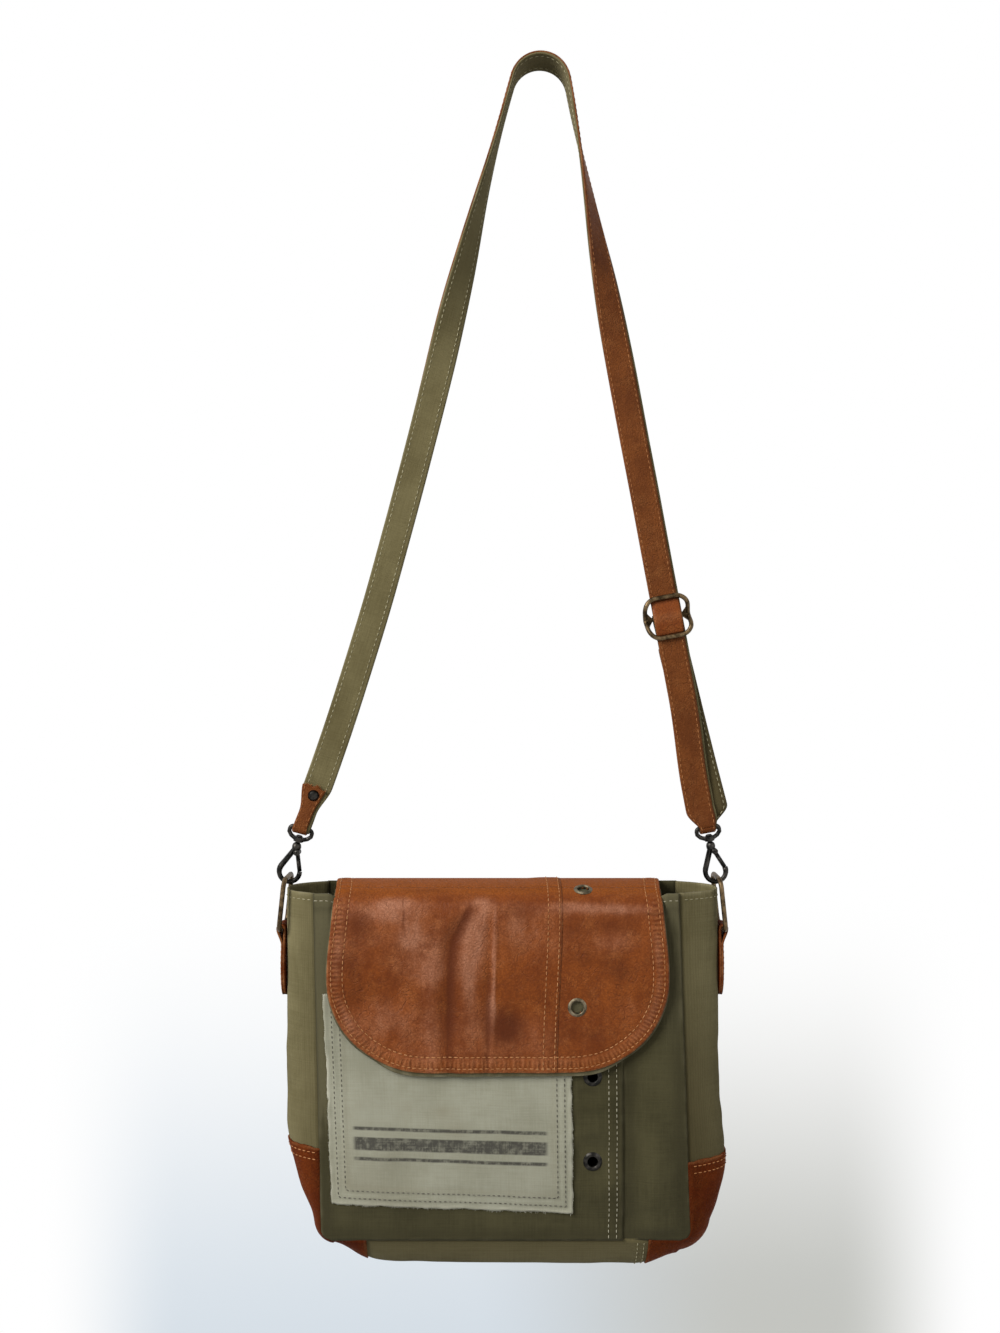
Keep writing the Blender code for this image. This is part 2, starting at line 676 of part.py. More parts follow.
def build_hook(name, place):
    """Pear-shaped hook with ball neck, swivel post and head, and ears for the gate."""
    path = [Vector((0.0, 0.0, HOOK_NECK_HEIGHT))]
    start = math.pi - FLANK_ANGLE
    end = 2 * math.pi + NOSE_ANGLE
    for k in range(HOOK_STEPS + 1):
        turn = start + (end - start) * k / HOOK_STEPS
        path.append(Vector((math.cos(turn), 0.0, math.sin(turn))) * HOOK_BEND_RADIUS)
    hook = tube(name, path, HOOK_WIRE_RADIUS, Y_AXIS, METAL_BLACK, place=place)
    profile = [(0.0, HOOK_NECK_HEIGHT - HOOK_BALL_RADIUS)]
    for k in range(1, BALL_STEPS):
        turn = math.pi * (k / BALL_STEPS - 0.5)
        profile.append((HOOK_BALL_RADIUS * math.cos(turn),
                        HOOK_NECK_HEIGHT + HOOK_BALL_RADIUS * math.sin(turn)))
    reach = math.sqrt(HOOK_BALL_RADIUS ** 2 - SWIVEL_POST_RADIUS ** 2)
    profile += [(SWIVEL_POST_RADIUS, HOOK_NECK_HEIGHT + reach), (SWIVEL_POST_RADIUS, HEAD_FOOT),
                (SWIVEL_HEAD_RADIUS, HEAD_FOOT), (SWIVEL_HEAD_TOP_RADIUS, HEAD_FOOT + SWIVEL_HEAD_THICK),
                (0.0, HEAD_FOOT + SWIVEL_HEAD_THICK)]
    boolean(hook, turned(name + "_neck", profile, METAL_BLACK, place), "UNION")
    bore = GATE_PIN_RADIUS + RUN_GAP
    half_ear = EAR_WIDTH / 2
    profile = [(bore, -half_ear), (GATE_KNUCKLE_RADIUS, -half_ear),
               (GATE_KNUCKLE_RADIUS, half_ear), (bore, half_ear)]
    across = place @ Matrix.Translation(GATE_PIN) @ Matrix.Rotation(math.pi / 2, 4, "X")
    boolean(hook, turned(name + "_ears", profile, METAL_BLACK, across), "UNION")
    slot_half = GATE_KNUCKLE_WIDTH / 2 + RUN_GAP
    slot_radius = GATE_KNUCKLE_RADIUS + RUN_GAP
    slot = local_rod(name + "_slot", GATE_PIN, slot_half, slot_radius, place, METAL_BLACK)
    boolean(hook, slot, "DIFFERENCE")
    return hook


def build_gate(name, place):
    """Sprung gate from its knuckle on the pin to the hook's nose."""
    nose = Vector((math.cos(NOSE_ANGLE), 0.0, math.sin(NOSE_ANGLE))) * HOOK_BEND_RADIUS
    reach = nose - GATE_PIN
    tip = nose - reach.normalized() * GATE_TIP_GAP
    start = GATE_PIN + reach.normalized() * GATE_RADIUS
    gate = tube(name, [start, tip], GATE_RADIUS, Y_AXIS, METAL_BLACK, place=place)
    half = GATE_KNUCKLE_WIDTH / 2
    knuckle = local_rod(name + "_knuckle", GATE_PIN, half, GATE_KNUCKLE_RADIUS, place, METAL_BLACK)
    boolean(gate, knuckle, "UNION")
    bore = GATE_PIN_RADIUS + RUN_GAP
    tool = local_rod(name + "_bore", GATE_PIN, EAR_WIDTH, bore, place, METAL_BLACK)
    boolean(gate, tool, "DIFFERENCE")
    return gate


def build_gate_pin(name, place):
    """Pin that the gate turns on, as long as the ears are wide."""
    return local_rod(name, GATE_PIN, EAR_WIDTH / 2, GATE_PIN_RADIUS, place, METAL_BLACK)


# Strap

SAG_PEAK = 4.0 / 27.0


def leg_depth(distance):
    """Depth of a strap leg's inner face, at its eye bar and pinched together above it."""
    at_bar = EYE_BAR_RADIUS + RUN_GAP
    return at_bar + (SEAT_GAP / 2 - at_bar) * smooth(distance, 0.0, STRAP_PINCH)


def strap_half(distance):
    """Half width of the strap, narrowed where it passes through its eye."""
    narrow = smooth(distance, STRAP_NARROW_START, STRAP_NARROW_END)
    return (STRAP_END_WIDTH + (STRAP_WIDTH - STRAP_END_WIDTH) * narrow) / 2


def run_point(run, distance):
    """Point on the middle of a run at a distance above its eye; the left run sags inwards."""
    length = (run["top"] - run["eye"]).length
    share = distance / length
    sag = LEFT_SAG * share * (1.0 - share) ** 2 / SAG_PEAK if run["side"] < 0 else 0.0
    return run["eye"] + run["up"] * distance + run["across"] * sag


def leg_station(run, distance, front):
    """Station of a leg beside the eye, in front of the run's middle (1) or behind it (-1)."""
    depth = Y_AXIS * -front
    point = run_point(run, distance) + depth * leg_depth(distance)
    edge = run["across"] * strap_half(distance)
    return point, depth, edge, -edge


def run_stations(run, loose_length, twist):
    """One side of the strap, from its loose end round the eye and up to where it hangs."""
    main = -run["loose"]
    stations = []
    for k in range(TAIL_STEPS + 1):
        stations.append(leg_station(run, loose_length * (1.0 - k / TAIL_STEPS), run["loose"]))
    radius = EYE_BAR_RADIUS + RUN_GAP
    for k in range(1, FOLD_STEPS):
        turn = math.pi * k / FOLD_STEPS
        normal = Y_AXIS * -run["loose"] * math.cos(turn) - run["up"] * math.sin(turn)
        edge = run["across"] * strap_half(0.0)
        stations.append((run["eye"] + normal * radius, normal, edge, -edge))
    length = (run["top"] - run["eye"]).length
    places = [STRAP_NARROW_END * k / NARROW_STEPS for k in range(NARROW_STEPS + 1)]
    twist_end = length - twist[1]
    flat_length = twist_end - STRAP_NARROW_END
    places += [STRAP_NARROW_END + flat_length * k / RUN_STEPS for k in range(1, RUN_STEPS)]
    places += [twist_end + (length - twist_end) * k / TWIST_STEPS for k in range(TWIST_STEPS + 1)]
    for distance in places:
        flat = 1.0 - smooth(distance, twist_end, length - twist[0])
        turn = math.pi / 2 * flat
        depth = Y_AXIS * -main
        normal = run["outward"] * math.cos(turn) + depth * math.sin(turn)
        centring = leg_depth(distance) * flat
        point = run_point(run, distance) + depth * centring
        edge = run["up"].cross(normal) * strap_half(distance) * run["side"]
        stations.append((point, normal, edge, -edge))
    return stations


def strap_stations(left, right):
    """The whole strap from its riveted left end to the return behind the right run."""
    stations = run_stations(left, TAIL_LENGTH, TWIST_LEFT)
    hang = Vector((0.0, 0.0, -HANG_RADIUS))
    start = math.atan2(left["outward"].z, left["outward"].x)
    end = math.atan2(right["outward"].z, right["outward"].x)
    half = strap_half(STRAP_NARROW_END)
    for k in range(1, HANG_STEPS):
        turn = start + (end - start) * k / HANG_STEPS
        normal = Vector((math.cos(turn), 0.0, math.sin(turn)))
        stations.append((hang + normal * HANG_RADIUS, normal, Y_AXIS * half, Y_AXIS * -half))
    stations += reversed(run_stations(right, RETURN_START, TWIST_RIGHT))
    return stations


def build_strap(left, right):
    """Leather and canvas plies, the rivet in the left end, and the return run's plies."""
    stations = strap_stations(left, right)
    leather = band("strap_leather", stations, LEATHER_PLY, LEATHER_TAN)
    canvas = band("strap_canvas", stations, CANVAS_PLY, CANVAS_LIGHT)
    middle = run_point(left, RIVET_HEIGHT)
    stack = SEAT_GAP / 2 + STRAP_THICK
    reach = Y_AXIS * stack * 2
    for ply in (leather, canvas):
        hole = rod_along(ply.name + "_rivet_hole", middle - reach, middle + reach,
                         RIVET_POST_RADIUS + SEAT_GAP, METAL_BLACK)
        boolean(ply, hole, "DIFFERENCE")
    near = stack + SEAT_GAP
    far = near + RIVET_CAP_THICK
    profile = [(0.0, -far), (RIVET_CAP_TOP_RADIUS, -far), (RIVET_CAP_RADIUS, -near),
               (RIVET_POST_RADIUS, -near), (RIVET_POST_RADIUS, near), (RIVET_CAP_RADIUS, near),
               (RIVET_CAP_TOP_RADIUS, far), (0.0, far)]
    place = Matrix.Translation(middle) @ (-Y_AXIS).to_track_quat("Z", "Y").to_matrix().to_4x4()
    rivet = turned("strap_rivet", profile, METAL_BLACK, place)
    start = RETURN_START + SEAT_GAP
    end = SLIDER_DISTANCE - LOOP_LEG - SEAT_GAP
    behind = [leg_station(right, start + (end - start) * k / RETURN_STEPS, right["loose"])
              for k in range(RETURN_STEPS + 1)]
    return [leather, canvas, rivet, band("strap_return_leather", behind, LEATHER_PLY, LEATHER_TAN),
            band("strap_return_canvas", behind, CANVAS_PLY, CANVAS_LIGHT)]


# Slider

LOOP_RADIUS = SLIDER_WIRE_RADIUS + RUN_GAP
LOOP_LEG = LOOP_SEWN_LENGTH + LOOP_FREE_LENGTH
BAR_DEPTH = SEAT_GAP / 2 + STRAP_CANVAS_THICK + LOOP_RADIUS
OUTER_DEPTH = -(SEAT_GAP / 2 + STRAP_THICK + RUN_GAP + SLIDER_WIRE_RADIUS)


def slider_place(run):
    """Matrix of the slider: across, depth and up directions from its middle bar."""
    place = clip_place(run)
    place.translation = run["eye"] + run["up"] * SLIDER_DISTANCE
    return place


def build_slider(place):
    """Rounded wire frame, bowed so that its middle bar lies behind the strap."""
    half_width = SLIDER_INNER_WIDTH / 2 + SLIDER_WIRE_RADIUS
    half_height = SLIDER_HEIGHT / 2 + SLIDER_WIRE_RADIUS
    bow = half_height - SLIDER_CORNER_RADIUS / 2
    path = []
    outline = rounded_loop(half_width, half_height, SLIDER_CORNER_RADIUS)
    half_way = len(outline) // 2
    outline.insert(half_way + WIRE_CORNER_STEPS + 1, (-half_width, 0.0))
    outline.insert(WIRE_CORNER_STEPS + 1, (half_width, 0.0))
    for across, up in outline:
        share = min(abs(up) / bow, 1.0)
        path.append(Vector((across, BAR_DEPTH + (OUTER_DEPTH - BAR_DEPTH) * share, up)))
    slider = tube("slider", path, SLIDER_WIRE_RADIUS, Y_AXIS, BRASS_OLD, closed=True, place=place)
    reach = half_width - SLIDER_WIRE_RADIUS / 2
    ends = [Vector((sign * reach, BAR_DEPTH, 0.0)) for sign in (-1, 1)]
    bar = tube("slider_middle_bar", ends, SLIDER_WIRE_RADIUS, Y_AXIS, BRASS_OLD, place=place)
    boolean(slider, bar, "UNION")
    return slider


def build_end_loop(run):
    """Sewn end of the return run, canvas only, round the slider's middle bar."""
    bar = run["eye"] + run["up"] * SLIDER_DISTANCE + Y_AXIS * BAR_DEPTH
    edge = run["across"] * STRAP_WIDTH / 2
    stations = [(bar - Y_AXIS * LOOP_RADIUS - run["up"] * LOOP_LEG, -Y_AXIS, edge, -edge)]
    for k in range(FOLD_STEPS + 1):
        turn = math.pi * k / FOLD_STEPS
        normal = run["up"] * math.sin(turn) - Y_AXIS * math.cos(turn)
        stations.append((bar + normal * LOOP_RADIUS, normal, edge, -edge))
    closing = 2 * LOOP_RADIUS - SEAT_GAP
    for k in range(1, LOOP_STEPS + 1):
        drop = LOOP_SEWN_LENGTH * k / LOOP_STEPS
        depth = LOOP_RADIUS - closing * smooth(drop, 0.0, LOOP_CLOSE_LENGTH)
        stations.append((bar + Y_AXIS * depth - run["up"] * drop, Y_AXIS, edge, -edge))
    return band("strap_end_loop", stations, CANVAS_PLY, CANVAS_LIGHT)


# Flap

FLAP_HINGE_Y = HALF_DEPTH + SEAT_GAP + FLAP_STRIP_THICK + SEAT_GAP
FLAP_FACE_Y = -(HALF_DEPTH + FLAP_FRONT_STANDOFF)
FLAP_TOP_LENGTH = FLAP_HINGE_Y - FLAP_FACE_Y - FLAP_ROLL_RADIUS
FLAP_ROLL_LENGTH = FLAP_ROLL_RADIUS * math.pi / 2
FLAP_SPLIT = FLAP_TOP_LENGTH + FLAP_ROLL_LENGTH / 2
FLAP_FRONT_LENGTH = FLAP_DROP - FLAP_ROLL_RADIUS + FLAP_LIFT
FLAP_LENGTH = FLAP_TOP_LENGTH + FLAP_ROLL_LENGTH + FLAP_FRONT_LENGTH
FLAP_LINING_PLY = (0.0, FLAP_LINING_THICK)
FLAP_RIGHT_PLY = (FLAP_LINING_PLY[1] + SEAT_GAP, FLAP_LINING_PLY[1] + SEAT_GAP + FLAP_LEATHER_THICK)
FLAP_LEFT_PLY = (FLAP_RIGHT_PLY[1] + SEAT_GAP, FLAP_RIGHT_PLY[1] + SEAT_GAP + FLAP_LEATHER_THICK)


def flap_place(s):
    """Point on the lining's inner face at a distance from the hinge, and the outward normal."""
    top_z = RIM_Z + FLAP_LIFT
    if s <= FLAP_TOP_LENGTH:
        return bag_point(0.0, FLAP_HINGE_Y - s, top_z), Z_AXIS.copy()
    turn = min((s - FLAP_TOP_LENGTH) / FLAP_ROLL_RADIUS, math.pi / 2)
    normal = Vector((0.0, -math.sin(turn), math.cos(turn)))
    centre = bag_point(0.0, FLAP_FACE_Y + FLAP_ROLL_RADIUS, top_z - FLAP_ROLL_RADIUS)
    drop = max(s - FLAP_TOP_LENGTH - FLAP_ROLL_LENGTH, 0.0)
    return centre + normal * FLAP_ROLL_RADIUS - Z_AXIS * drop, normal


def flap_half(s):
    """Half width of the flap, with its rounded lower corners."""
    corner_start = FLAP_LENGTH - FLAP_CORNER_HEIGHT
    half = FLAP_TOP_HALF + (FLAP_MID_HALF - FLAP_TOP_HALF) * smooth(s, FLAP_TOP_LENGTH, corner_start)
    if s <= corner_start:
        return half
    fall = min((s - corner_start) / FLAP_CORNER_HEIGHT, 1.0)
    return half - FLAP_CORNER_WIDTH * (1.0 - math.sqrt(1.0 - fall * fall))


def flap_rows(start, end):
    """Distances from the hinge at which the flap's outline or bend needs a row."""
    rows = {start, end, FLAP_TOP_LENGTH, FLAP_TOP_LENGTH + FLAP_ROLL_LENGTH}
    corner_start = FLAP_LENGTH - FLAP_CORNER_HEIGHT
    roll_end = FLAP_TOP_LENGTH + FLAP_ROLL_LENGTH
    for k in range(FLAP_ROLL_STEPS + 1):
        rows.add(FLAP_TOP_LENGTH + FLAP_ROLL_LENGTH * k / FLAP_ROLL_STEPS)
    for k in range(FLAP_STRAIGHT_STEPS + 1):
        rows.add(roll_end + (corner_start - roll_end) * k / FLAP_STRAIGHT_STEPS)
    for k in range(FLAP_CORNER_STEPS + 1):
        rows.add(corner_start + FLAP_CORNER_HEIGHT * math.sin(math.pi / 2 * k / FLAP_CORNER_STEPS))
    kept = [s for s in sorted(rows) if start <= s <= end]
    return [s for i, s in enumerate(kept) if i == 0 or s - kept[i - 1] > SEAT_GAP / 10]


def flap_sheet(name, rows, left, right, ply, finish_of):
    """One layer of the flap between two places across it, cut to its outline."""
    stations = []
    for s in rows:
        point, normal = flap_place(s)
        half = flap_half(s)
        stations.append((point, normal, X_AXIS * max(left, -half), X_AXIS * min(right, half)))
    return band(name, stations, ply, finish_of)


def build_flap_part(name, start, end, eyelet_s):
    """Left and right leather, lining and eyelet of the flap's top or front."""
    rows = flap_rows(start, end)
    wide = FLAP_MID_HALF * 2
    left = flap_sheet(name + "_left", rows, -wide, FLAP_SEAM_X, FLAP_LEFT_PLY, LEATHER_TAN)
    right = flap_sheet(name + "_right", rows, FLAP_SEAM_X - FLAP_LAP, wide, FLAP_RIGHT_PLY, LEATHER_TAN)
    lining = flap_sheet(name + "_lining", rows, -wide, wide, FLAP_LINING_PLY, LINING_CLOTH)
    point, normal = flap_place(eyelet_s)
    wall = FLAP_RIGHT_PLY[1]
    centre = point + X_AXIS * FLAP_EYELET_X + normal * wall
    for layer in (right, lining):
        boolean(layer, eyelet_hole(layer.name + "_hole", centre, normal, wall * 2), "DIFFERENCE")
    return [left, right, lining, eyelet(name + "_eyelet", centre, normal, wall, BRASS_OLD),
            washer(name + "_washer", centre, normal, wall, BRASS_OLD)]


# Assembly

def build_bag():
    """Make every piece and parent each moving body to an empty on its joint."""
    left = run_frame(-1)
    right = run_frame(1)
    body = build_panels() + build_gusset()
    body += [build_tab("tab_left", -1), build_tab("tab_right", 1)]
    swing = bag_point(0.0, 0.0, HOOK_BEND_Z)
    joint_empty("bag_swing_axis", swing, body)
    for name, side in (("left", -1), ("right", 1)):
        foot = bag_point(side * RING_X, 0.0, RING_FOOT_Z)
        joint_empty("ring_%s_axis" % name, foot, [build_ring("ring_" + name, side)])
    top = build_flap_part("flap_top", 0.0, FLAP_SPLIT - SEAT_GAP / 2, FLAP_TOP_EYELET_REACH)
    joint_empty("flap_hinge_axis", bag_point(0.0, FLAP_HINGE_Y, RIM_Z), top)
    eyelet_s = FLAP_TOP_LENGTH + FLAP_ROLL_LENGTH + FLAP_FRONT_EYELET_DROP - FLAP_ROLL_RADIUS
    front = build_flap_part("flap_front", FLAP_SPLIT + SEAT_GAP / 2, FLAP_LENGTH, eyelet_s)
    fold_point, fold_normal = flap_place(FLAP_SPLIT)
    joint_empty("flap_fold_axis", fold_point + fold_normal * FLAP_LEFT_PLY[1], front)
    build_strap(left, right)
    place = slider_place(right)
    joint_empty("slider_axis", place.translation, [build_slider(place), build_end_loop(right)])
    for name, run in (("left", left), ("right", right)):
        clip = clip_place(run)
        build_eye("eye_" + name, clip)
        hook = build_hook("hook_" + name, clip)
        pin = build_gate_pin("gate_pin_" + name, clip)
        joint_empty("swivel_%s_axis" % name, run["bend"], [hook, pin])
        gate = build_gate("gate_" + name, clip)
        joint_empty("gate_%s_axis" % name, clip @ GATE_PIN, [gate])


build_bag()
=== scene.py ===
import json
import math

import bmesh
import bpy
import numpy as np
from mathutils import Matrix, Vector, noise

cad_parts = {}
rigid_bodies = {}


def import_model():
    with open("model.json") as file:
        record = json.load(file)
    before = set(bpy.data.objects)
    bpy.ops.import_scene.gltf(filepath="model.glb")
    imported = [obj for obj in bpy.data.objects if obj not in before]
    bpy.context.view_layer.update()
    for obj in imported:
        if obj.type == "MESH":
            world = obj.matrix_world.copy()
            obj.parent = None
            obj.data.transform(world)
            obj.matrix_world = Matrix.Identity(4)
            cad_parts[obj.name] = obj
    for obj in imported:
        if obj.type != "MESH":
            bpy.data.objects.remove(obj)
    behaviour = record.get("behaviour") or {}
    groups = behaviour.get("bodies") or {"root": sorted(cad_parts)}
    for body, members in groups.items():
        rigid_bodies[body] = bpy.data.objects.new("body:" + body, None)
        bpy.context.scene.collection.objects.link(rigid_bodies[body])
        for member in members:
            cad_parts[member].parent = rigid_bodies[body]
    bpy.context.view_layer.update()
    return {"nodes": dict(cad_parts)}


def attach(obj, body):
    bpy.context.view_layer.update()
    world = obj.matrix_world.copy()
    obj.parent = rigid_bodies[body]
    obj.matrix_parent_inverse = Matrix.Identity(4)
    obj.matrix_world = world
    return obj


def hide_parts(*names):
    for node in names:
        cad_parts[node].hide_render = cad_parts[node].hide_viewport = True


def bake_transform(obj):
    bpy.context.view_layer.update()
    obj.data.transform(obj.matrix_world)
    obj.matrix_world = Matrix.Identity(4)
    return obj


for old in list(bpy.data.objects):
    bpy.data.objects.remove(old, do_unlink=True)
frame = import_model()
print("frame loaded,", len(frame["nodes"]), "nodes")

acrossX = Vector((1, 0, 0))
depthY = Vector((0, 1, 0))


# camera and stage

viewSettings = {
    "place": (-0.0297, -0.742, -0.4485),
    "lens": 36.0,
    "sensor": 36.0,
    "wallY": 0.215,
    "floorZ": -1.13,
    "wallSize": 6.0,
    "worldLight": 0.30,
    "key": {"place": (-1.50, -1.25, 0.55), "size": 1.2, "power": 58.0},
    "fill": {"place": (1.35, -1.45, -0.10), "size": 1.6, "power": 8.0},
    "aim": (-0.03, 0.0, -0.62),
}
stageLooks = {
    "wall": {"left": (0.71, 0.78, 0.845), "right": (0.68, 0.69, 0.65), "lit": 0.45},
    "floor": {"left": (0.88, 0.91, 0.94), "right": (0.89, 0.89, 0.88), "lit": 0.3},
}
# painted shade on the backdrop: a grey tone shows low down and near the middle, and turns from bluer at its left to
# warmer at its right
stageShadeFade = {"heights": (-1.151, -0.659), "shiftX": 0.02, "sides": (0.31, 0.45), "turnX": (-0.05, 0.22)}


def setCamera(view):
    data = bpy.data.cameras.new("photoCamera")
    data.sensor_fit = "HORIZONTAL"
    data.sensor_width = view["sensor"]
    data.lens = view["lens"]
    data.clip_start = 0.01
    camera = bpy.data.objects.new("photoCamera", data)
    camera.location = view["place"]
    camera.rotation_euler = (math.pi / 2, 0.0, 0.0)
    bpy.context.scene.collection.objects.link(camera)
    bpy.context.scene.camera = camera


def addLight(name, setting, aim):
    data = bpy.data.lights.new(name, "AREA")
    data.shape = "DISK"
    data.size = setting["size"]
    data.energy = setting["power"]
    lamp = bpy.data.objects.new(name, data)
    lamp.location = setting["place"]
    lamp.rotation_euler = (Vector(aim) - lamp.location).to_track_quat("-Z", "Y").to_euler()
    bpy.context.scene.collection.objects.link(lamp)


# node maths: a wrapped socket takes operators, a graph makes the nodes

def plug(tree, slot, value):
    if isinstance(value, Wire):
        tree.links.new(value.socket, slot)
    elif value is not None:
        slot.default_value = value


class Wire:
    def __init__(self, tree, socket):
        self.tree = tree
        self.socket = socket

    def calc(self, operation, first, second=None):
        return Graph(self.tree).node("ShaderNodeMath", {"operation": operation}, {0: first, 1: second})

    def __add__(self, other):
        return self.calc("ADD", self, other)

    def __radd__(self, other):
        return self.calc("ADD", other, self)

    def __sub__(self, other):
        return self.calc("SUBTRACT", self, other)

    def __rsub__(self, other):
        return self.calc("SUBTRACT", other, self)

    def __mul__(self, other):
        return self.calc("MULTIPLY", self, other)

    def __rmul__(self, other):
        return self.calc("MULTIPLY", other, self)

    def __pow__(self, other):
        return self.calc("POWER", self, other)

    def wave(self):
        return self.calc("SINE", self)

    def size(self):
        return self.calc("ABSOLUTE", self)

    def ease(self, low, high):
        sockets = {"Value": self, "From Min": low, "From Max": high}
        return Graph(self.tree).node("ShaderNodeMapRange", {"interpolation_type": "SMOOTHSTEP"}, sockets)


class Graph:
    def __init__(self, tree):
        self.tree = tree

    def node(self, kind, settings=None, sockets=None, out=0):
        made = self.tree.nodes.new(kind)
        for key, value in (settings or {}).items():
            setattr(made, key, value)
        for key, value in (sockets or {}).items():
            plug(self.tree, made.inputs[key], value)
        return Wire(self.tree, made.outputs[out])


class Paint(Graph):
    def __init__(self, name, fixed):
        self.mat = bpy.data.materials.new(name)
        self.mat.use_nodes = True
        Graph.__init__(self, self.mat.node_tree)
        self.shader = self.tree.nodes["Principled BSDF"]
        for slot, value in fixed.items():
            self.shader.inputs[slot].default_value = value

    def coords(self, kind):
        return self.node("ShaderNodeTexCoord", out=kind)

    def split(self, vector, axis):
        return self.node("ShaderNodeSeparateXYZ", None, {0: vector}, axis)

    def stretch(self, vector, scale):
        return self.node("ShaderNodeMapping", None, {"Vector": vector, "Scale": scale})

    def cloud(self, vector, scale, detail=3.0, rough=0.55, warp=0.0):
        sockets = {"Vector": vector, "Scale": scale, "Detail": detail, "Roughness": rough, "Distortion": warp}
        return self.node("ShaderNodeTexNoise", None, sockets)

    def cells(self, vector, scale, feature="F1"):
        return self.node("ShaderNodeTexVoronoi", {"feature": feature}, {"Vector": vector, "Scale": scale})

    def mark(self, name):
        return self.node("ShaderNodeAttribute", {"attribute_name": name}, out="Fac")

    def mix(self, share, first, second):
        first = (*first, 1.0) if isinstance(first, tuple) else first
        second = (*second, 1.0) if isinstance(second, tuple) else second
        return self.node("ShaderNodeMix", {"data_type": "RGBA"}, {0: share, 6: first, 7: second}, 2)

    def bump(self, height, distance, strength=1.0, under=None):
        sockets = {"Height": height, "Distance": distance, "Strength": strength, "Normal": under}
        return self.node("ShaderNodeBump", None, sockets)

    def feed(self, **links):
        names = {"colour": "Base Color", "rough": "Roughness", "normal": "Normal", "coat": "Coat Weight"}
        for key, value in links.items():
            plug(self.tree, self.shader.inputs[names[key]], value)


def paintStage(name, look):
    # pale for the camera from its front, clear to every other ray, so the bag is lit evenly all round
    paint = Paint(name, {})
    paint.tree.nodes.remove(paint.shader)
    spot = paint.coords("Object")
    across = paint.split(spot, 0)
    # painted shade: low down and near the middle the backdrop takes the grey tone
    middle = 1.0 - (across + stageShadeFade["shiftX"]).size().ease(*stageShadeFade["sides"])
    dim = (1.0 - paint.split(spot, 2).ease(*stageShadeFade["heights"])) * middle
    low = paint.mix(across.ease(*stageShadeFade["turnX"]), look["left"], look["right"])
    colour = paint.mix(dim, (1.0, 1.0, 1.0), low)
    glow = paint.node("ShaderNodeEmission", None, {"Color": colour})
    matt = paint.node("ShaderNodeBsdfDiffuse", None, {"Color": colour})
    face = paint.node("ShaderNodeMixShader", None, {0: dim * look["lit"], 1: glow, 2: matt})
    clear = paint.node("ShaderNodeBsdfTransparent")
    seen = paint.node("ShaderNodeLightPath", out="Is Camera Ray")
    front = 1.0 - paint.node("ShaderNodeNewGeometry", out="Backfacing")
    whole = paint.node("ShaderNodeMixShader", None, {0: seen * front, 1: clear, 2: face})
    plug(paint.tree, paint.tree.nodes["Material Output"].inputs["Surface"], whole)
    return paint.mat


def addStage(name, corners, mat):
    mesh = bpy.data.meshes.new(name)
    mesh.from_pydata(corners, [], [(0, 1, 2, 3)])
    mesh.materials.append(mat)
    plane = bpy.data.objects.new(name, mesh)
    bpy.context.scene.collection.objects.link(plane)


def setWorld(strength):
    world = bpy.data.worlds.new("studio")
    bpy.context.scene.world = world
    world.use_nodes = True
    graph = Graph(world.node_tree)
    graph.tree.nodes.clear()
    seen = 0.0
    for ray in ("Is Camera Ray", "Is Glossy Ray", "Is Transmission Ray"):
        seen = seen + graph.node("ShaderNodeLightPath", out=ray)
    level = strength + seen.calc("MINIMUM", seen, 1.0) * (1.0 - strength)
    sky = graph.node("ShaderNodeBackground", None, {"Color": (1.0, 1.0, 1.0, 1.0), "Strength": level})
    plug(graph.tree, graph.tree.nodes.new("ShaderNodeOutputWorld").inputs["Surface"], sky)


bpy.context.scene.view_settings.view_transform = "Standard"
setCamera(viewSettings)
setWorld(viewSettings["worldLight"])
addLight("keyLight", viewSettings["key"], viewSettings["aim"])
addLight("fillLight", viewSettings["fill"], viewSettings["aim"])
half = viewSettings["wallSize"] / 2
wallY, floorZ = viewSettings["wallY"], viewSettings["floorZ"]
wallSheet = [(-half, wallY, floorZ), (half, wallY, floorZ), (half, wallY, half), (-half, wallY, half)]
floorSheet = [(-half, -half, floorZ), (half, -half, floorZ), (half, half, floorZ), (-half, half, floorZ)]
for name, sheet in (("wall", wallSheet), ("floor", floorSheet)):
    addStage(name, sheet, paintStage("pale" + name.title(), stageLooks[name]))
print("camera, lights and stage set")


# finishes

canvasLooks = {
    "front": {"dark": (0.043, 0.038, 0.016), "light": (0.084, 0.074, 0.034), "faded": (0.128, 0.113, 0.060),
              "grimeAndShade": (0.028, 0.024, 0.011), "yarn": 0.0009},
    "side": {"dark": (0.132, 0.112, 0.050), "light": (0.228, 0.197, 0.098), "faded": (0.310, 0.275, 0.160),
             "grimeAndShade": (0.060, 0.047, 0.018), "yarn": 0.0009},
    "strap": {"dark": (0.114, 0.093, 0.039), "light": (0.196, 0.166, 0.078), "faded": (0.270, 0.235, 0.130),
              "grimeAndShade": (0.060, 0.044, 0.017), "yarn": 0.0008},
    "patch": {"dark": (0.290, 0.287, 0.210), "light": (0.395, 0.393, 0.305), "faded": (0.510, 0.495, 0.390),
              "grimeAndShade": (0.215, 0.187, 0.118), "yarn": 0.0008, "ink": (0.030, 0.030, 0.032),
              "stripes": ((0.0955, 0.0980), (0.1030, 0.1125), (0.1175, 0.1200)), "stripeEnds": (0.0185, 0.1580)},
    "lining": {"dark": (0.082, 0.072, 0.036), "light": (0.135, 0.120, 0.066), "faded": (0.18, 0.16, 0.095),
               "grimeAndShade": (0.045, 0.036, 0.016), "yarn": 0.0006},
}
